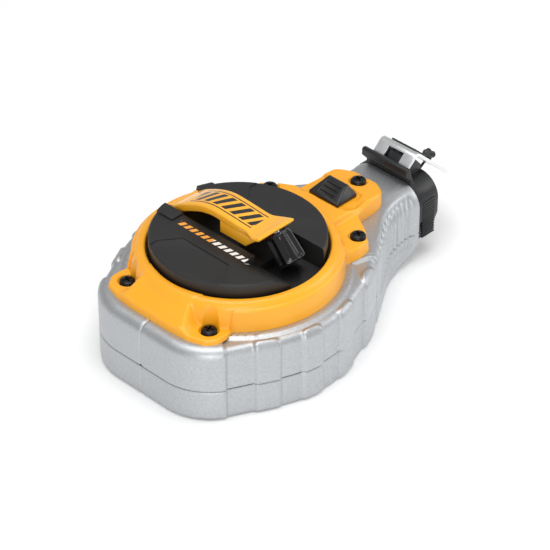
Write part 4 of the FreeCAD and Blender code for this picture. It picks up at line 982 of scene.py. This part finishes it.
def hook():
    """The end hook: a strip bent over the mouth, with a window in its claw, a nail hole and an eye."""
    turn = math.pi / 2 - HOOK_SLOPE
    setback = BEND_ROUND / math.tan(turn)
    centre = (HOOK_BEND[0], HOOK_BEND[1] - BEND_ROUND / math.sin(turn))
    arc = [(centre[0] + BEND_ROUND * math.sin(t), centre[1] + BEND_ROUND * math.cos(t))
           for t in np.linspace(-HOOK_SLOPE, HOOK_SLOPE, 13)]
    tight = BEND_ROUND - HOOK_THICK
    inner = [(centre[0] + tight * math.sin(t), centre[1] + tight * math.cos(t))
             for t in np.linspace(HOOK_SLOPE, -HOOK_SLOPE, 13)]
    section = [along_hook(-CLAW_LONG)] + arc + [along_hook(PLATE_LONG), along_hook(PLATE_LONG, -HOOK_THICK)]
    section += inner + [along_hook(-CLAW_LONG, -HOOK_THICK)]
    strip = extruded("strip", section, -HOOK_HALF, HOOK_HALF, axis=1)
    plate_way = Vector((math.sin(HOOK_SLOPE), 0, math.cos(HOOK_SLOPE)))
    cutters = [bar_on_hook("window", -setback - 0.6, -CLAW_LONG - 3, -WINDOW_HALF, WINDOW_HALF, 3, 4)]
    for run, radius in (EYE, NAIL_HOLE):
        x, z = along_hook(run, 4)
        cutters.append(lathe("hole", [(0, 0), (0, radius), (10, radius), (10, 0)], (x, 0, z),
                             Vector((x, 0, z)) - plate_way, segments=32))
    for end in (-1, 1):
        beyond = end * (HOOK_HALF + 1)
        outline = [(PLATE_LONG - 3.5, beyond), (PLATE_LONG + 3, beyond),
                   (PLATE_LONG + 3, end * (HOOK_HALF - 5.5))]
        corner = extruded("corner", outline, -4, 4, axis=2)
        corner.data.transform(Matrix.Rotation(HOOK_SLOPE, 4, "Y"))
        corner.data.transform(Matrix.Translation(Vector((HOOK_BEND[0], 0, HOOK_BEND[1])) * MM))
        cutters.append(corner)
    finished = round_edges(combine(strip, cutters, "DIFFERENCE"), 0.3, angle=40.0)
    finished.name = "bent_strip_hook"
    stand_for(finished, "end_hook")
    pad = bar_on_hook("grip_pad", 3.2, 13.6, -7.6, 7.6, 0.9, 0.0)
    stand_for(round_edges(pad, 0.35), "hook_pad")


def side_ribs(x_low, x_high, y):
    """Horizontal grip ribs on one flank of the mouth: one bar repeated up the flank by Geometry Nodes."""
    section = [(y - GRIP_RIB_OUT, -GRIP_RIB_HALF), (y + GRIP_RIB_OUT, -GRIP_RIB_HALF),
               (y + GRIP_RIB_OUT, GRIP_RIB_HALF), (y - GRIP_RIB_OUT, GRIP_RIB_HALF)]
    bar = round_edges(extruded("bar", section, x_low, x_high), 0.3)
    count = int((GRIP_RIBS_HIGH - GRIP_RIBS_LOW) / GRIP_RIB_PITCH) + 1
    spots = [(0.0, 0.0, GRIP_RIBS_LOW + GRIP_RIB_PITCH * k) for k in range(count)]
    ribs = placed_copies("flank_ribs", spots, bar, 1, "mouth_black", spin=0.0)
    bpy.data.objects.remove(bar)
    return ribs


def mouth():
    """The filling mouth with its grip ribs on both flanks."""
    body = softened("mouth_body", "mouth_nose", width_mm=0.7)
    far_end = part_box("mouth_nose")[1].x / MM
    for end in (-1, 1):
        ribs = side_ribs(NECK_END + 2.0, far_end - 2.4, end * (NECK_HALF - 0.35))
        body = combine(body, [ribs], "UNION")
    body.name = "filling_mouth"
    stand_for(body, "mouth_nose")


def tube(name, path, radius, segments=12):
    """A round cord along a path in millimetres, closed at both ends."""
    path = np.array(path, float)
    way = np.gradient(path, axis=0)
    way /= np.linalg.norm(way, axis=1)[:, None]
    vertices = []
    for point, ahead in zip(path, way):
        ahead = Vector(ahead)
        side = ahead.orthogonal() if abs(ahead.y) > 0.99 else ahead.cross(Vector((0, 1, 0)))
        side.normalize()
        up = side.cross(ahead)
        for k in range(segments):
            turn = 2 * math.pi * k / segments
            vertices.append(Vector(point) + (side * math.cos(turn) + up * math.sin(turn)) * radius)
    faces = wrapped(len(path), segments) + capped(len(path), segments)
    return piece_from(name, vertices, faces, sharp_degrees=60.0)


def line_and_knot():
    """The braided line from the door to the hook's eye, and its knot of turns laid above the plate."""
    x, z = along_hook(EYE[0])
    middle = Vector((x, 0, z))
    above = Vector((math.sin(HOOK_SLOPE), 0, math.cos(HOOK_SLOPE)))
    plate = Vector((math.cos(HOOK_SLOPE), 0, -math.sin(HOOK_SLOPE)))
    across = Vector((0, 1, 0))
    path = [middle - above * 1.5]
    for t in np.linspace(0, 1, 90):
        turn = 2 * math.pi * 3.2 * t
        reach = 1.9 + 0.5 * math.sin(5.0 * t * math.pi)
        lift = 0.9 + 2.6 * t + 0.7 * math.sin(2.3 * turn)
        path.append(middle + above * lift + (plate * math.cos(turn) + across * math.sin(turn)) * reach)
    stand_for(tube("knotted_line", path, KNOT_CORD), "line_knot")

    door, leave = Vector((NECK_END + 0.4, 0, LINE_LEVEL)), Vector((NECK_END + 14.5, 0, LINE_LEVEL))
    x, z = along_hook(EYE[0], -HOOK_THICK - 0.5)
    under_eye = Vector((x, 0, z))
    path = [door.lerp(leave, t) for t in np.linspace(0, 1, 10, endpoint=False)]
    path += [leave.lerp(under_eye, t) for t in np.linspace(0, 1, 20)]
    strand = tube("line_to_hook", path, LINE_RADIUS)
    paint(strand, "line")
    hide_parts("line_strand")
    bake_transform(strand)


# ---------------------------------------------------------------- build

housing()
cover()
screws()
arm()
knob()
for node_name in ("crank_disc", "clutch_button"):
    stand_for(softened(node_name + "_finished", node_name), node_name)
mouth()
hook()
line_and_knot()
for node_name, node_object in frame["nodes"].items():
    paint(node_object, SLOT_OF[node_name])


# ---------------------------------------------------------------- floor, light and camera

def stage_and_light():
    bpy.ops.mesh.primitive_plane_add(size=6.0, location=(0, 0, -0.0001))
    floor = bpy.context.object
    floor.name = "floor"
    floor.data.materials.append(surface("floor_pale", "#FFFFFF", "#FDFDFD", 0.6, mottle_mm=400.0)[0])
    world = bpy.data.worlds.new("studio")
    bpy.context.scene.world = world
    world.use_nodes = True
    world.node_tree.nodes["Background"].inputs["Color"].default_value = (1, 1, 1, 1)
    world.node_tree.nodes["Background"].inputs["Strength"].default_value = 0.5
    for name, place, size, power, aim in (
            ("overhead", (-0.1, -0.05, 0.95), 0.7, 5.5, (0, 0, 0)),
            ("front_left", (-0.75, -0.75, 0.4), 0.35, 3.4, (0.02, 0, 0.02)),
            ("right", (0.75, -0.5, 0.5), 0.5, 2.2, (0.05, 0, 0.03))):
        light = bpy.data.lights.new(name, "AREA")
        light.shape = "SQUARE"
        light.size = size
        light.energy = power
        lamp = bpy.data.objects.new(name, light)
        lamp.location = place
        lamp.rotation_euler = (Vector(aim) - Vector(place)).to_track_quat("-Z", "Y").to_euler()
        bpy.context.scene.collection.objects.link(lamp)


def camera():
    """The camera at the height and side from which the reel is usually shown."""
    target = Vector((0.0127, -0.0105, 0.0320))
    azimuth, elevation, distance = math.radians(44.3), math.radians(36.45), 1.2
    ahead = Vector((math.cos(azimuth) * math.cos(elevation), math.sin(azimuth) * math.cos(elevation),
                    -math.sin(elevation)))
    data = bpy.data.cameras.new("camera")
    data.lens = 175.1
    data.sensor_width = 36.0
    eye = bpy.data.objects.new("camera", data)
    eye.location = target - ahead * distance
    eye.rotation_euler = ahead.to_track_quat("-Z", "Y").to_euler()
    data.clip_start = 0.05
    bpy.context.scene.collection.objects.link(eye)
    bpy.context.scene.camera = eye


stage_and_light()
camera()
bpy.context.scene.view_settings.view_transform = "Standard"
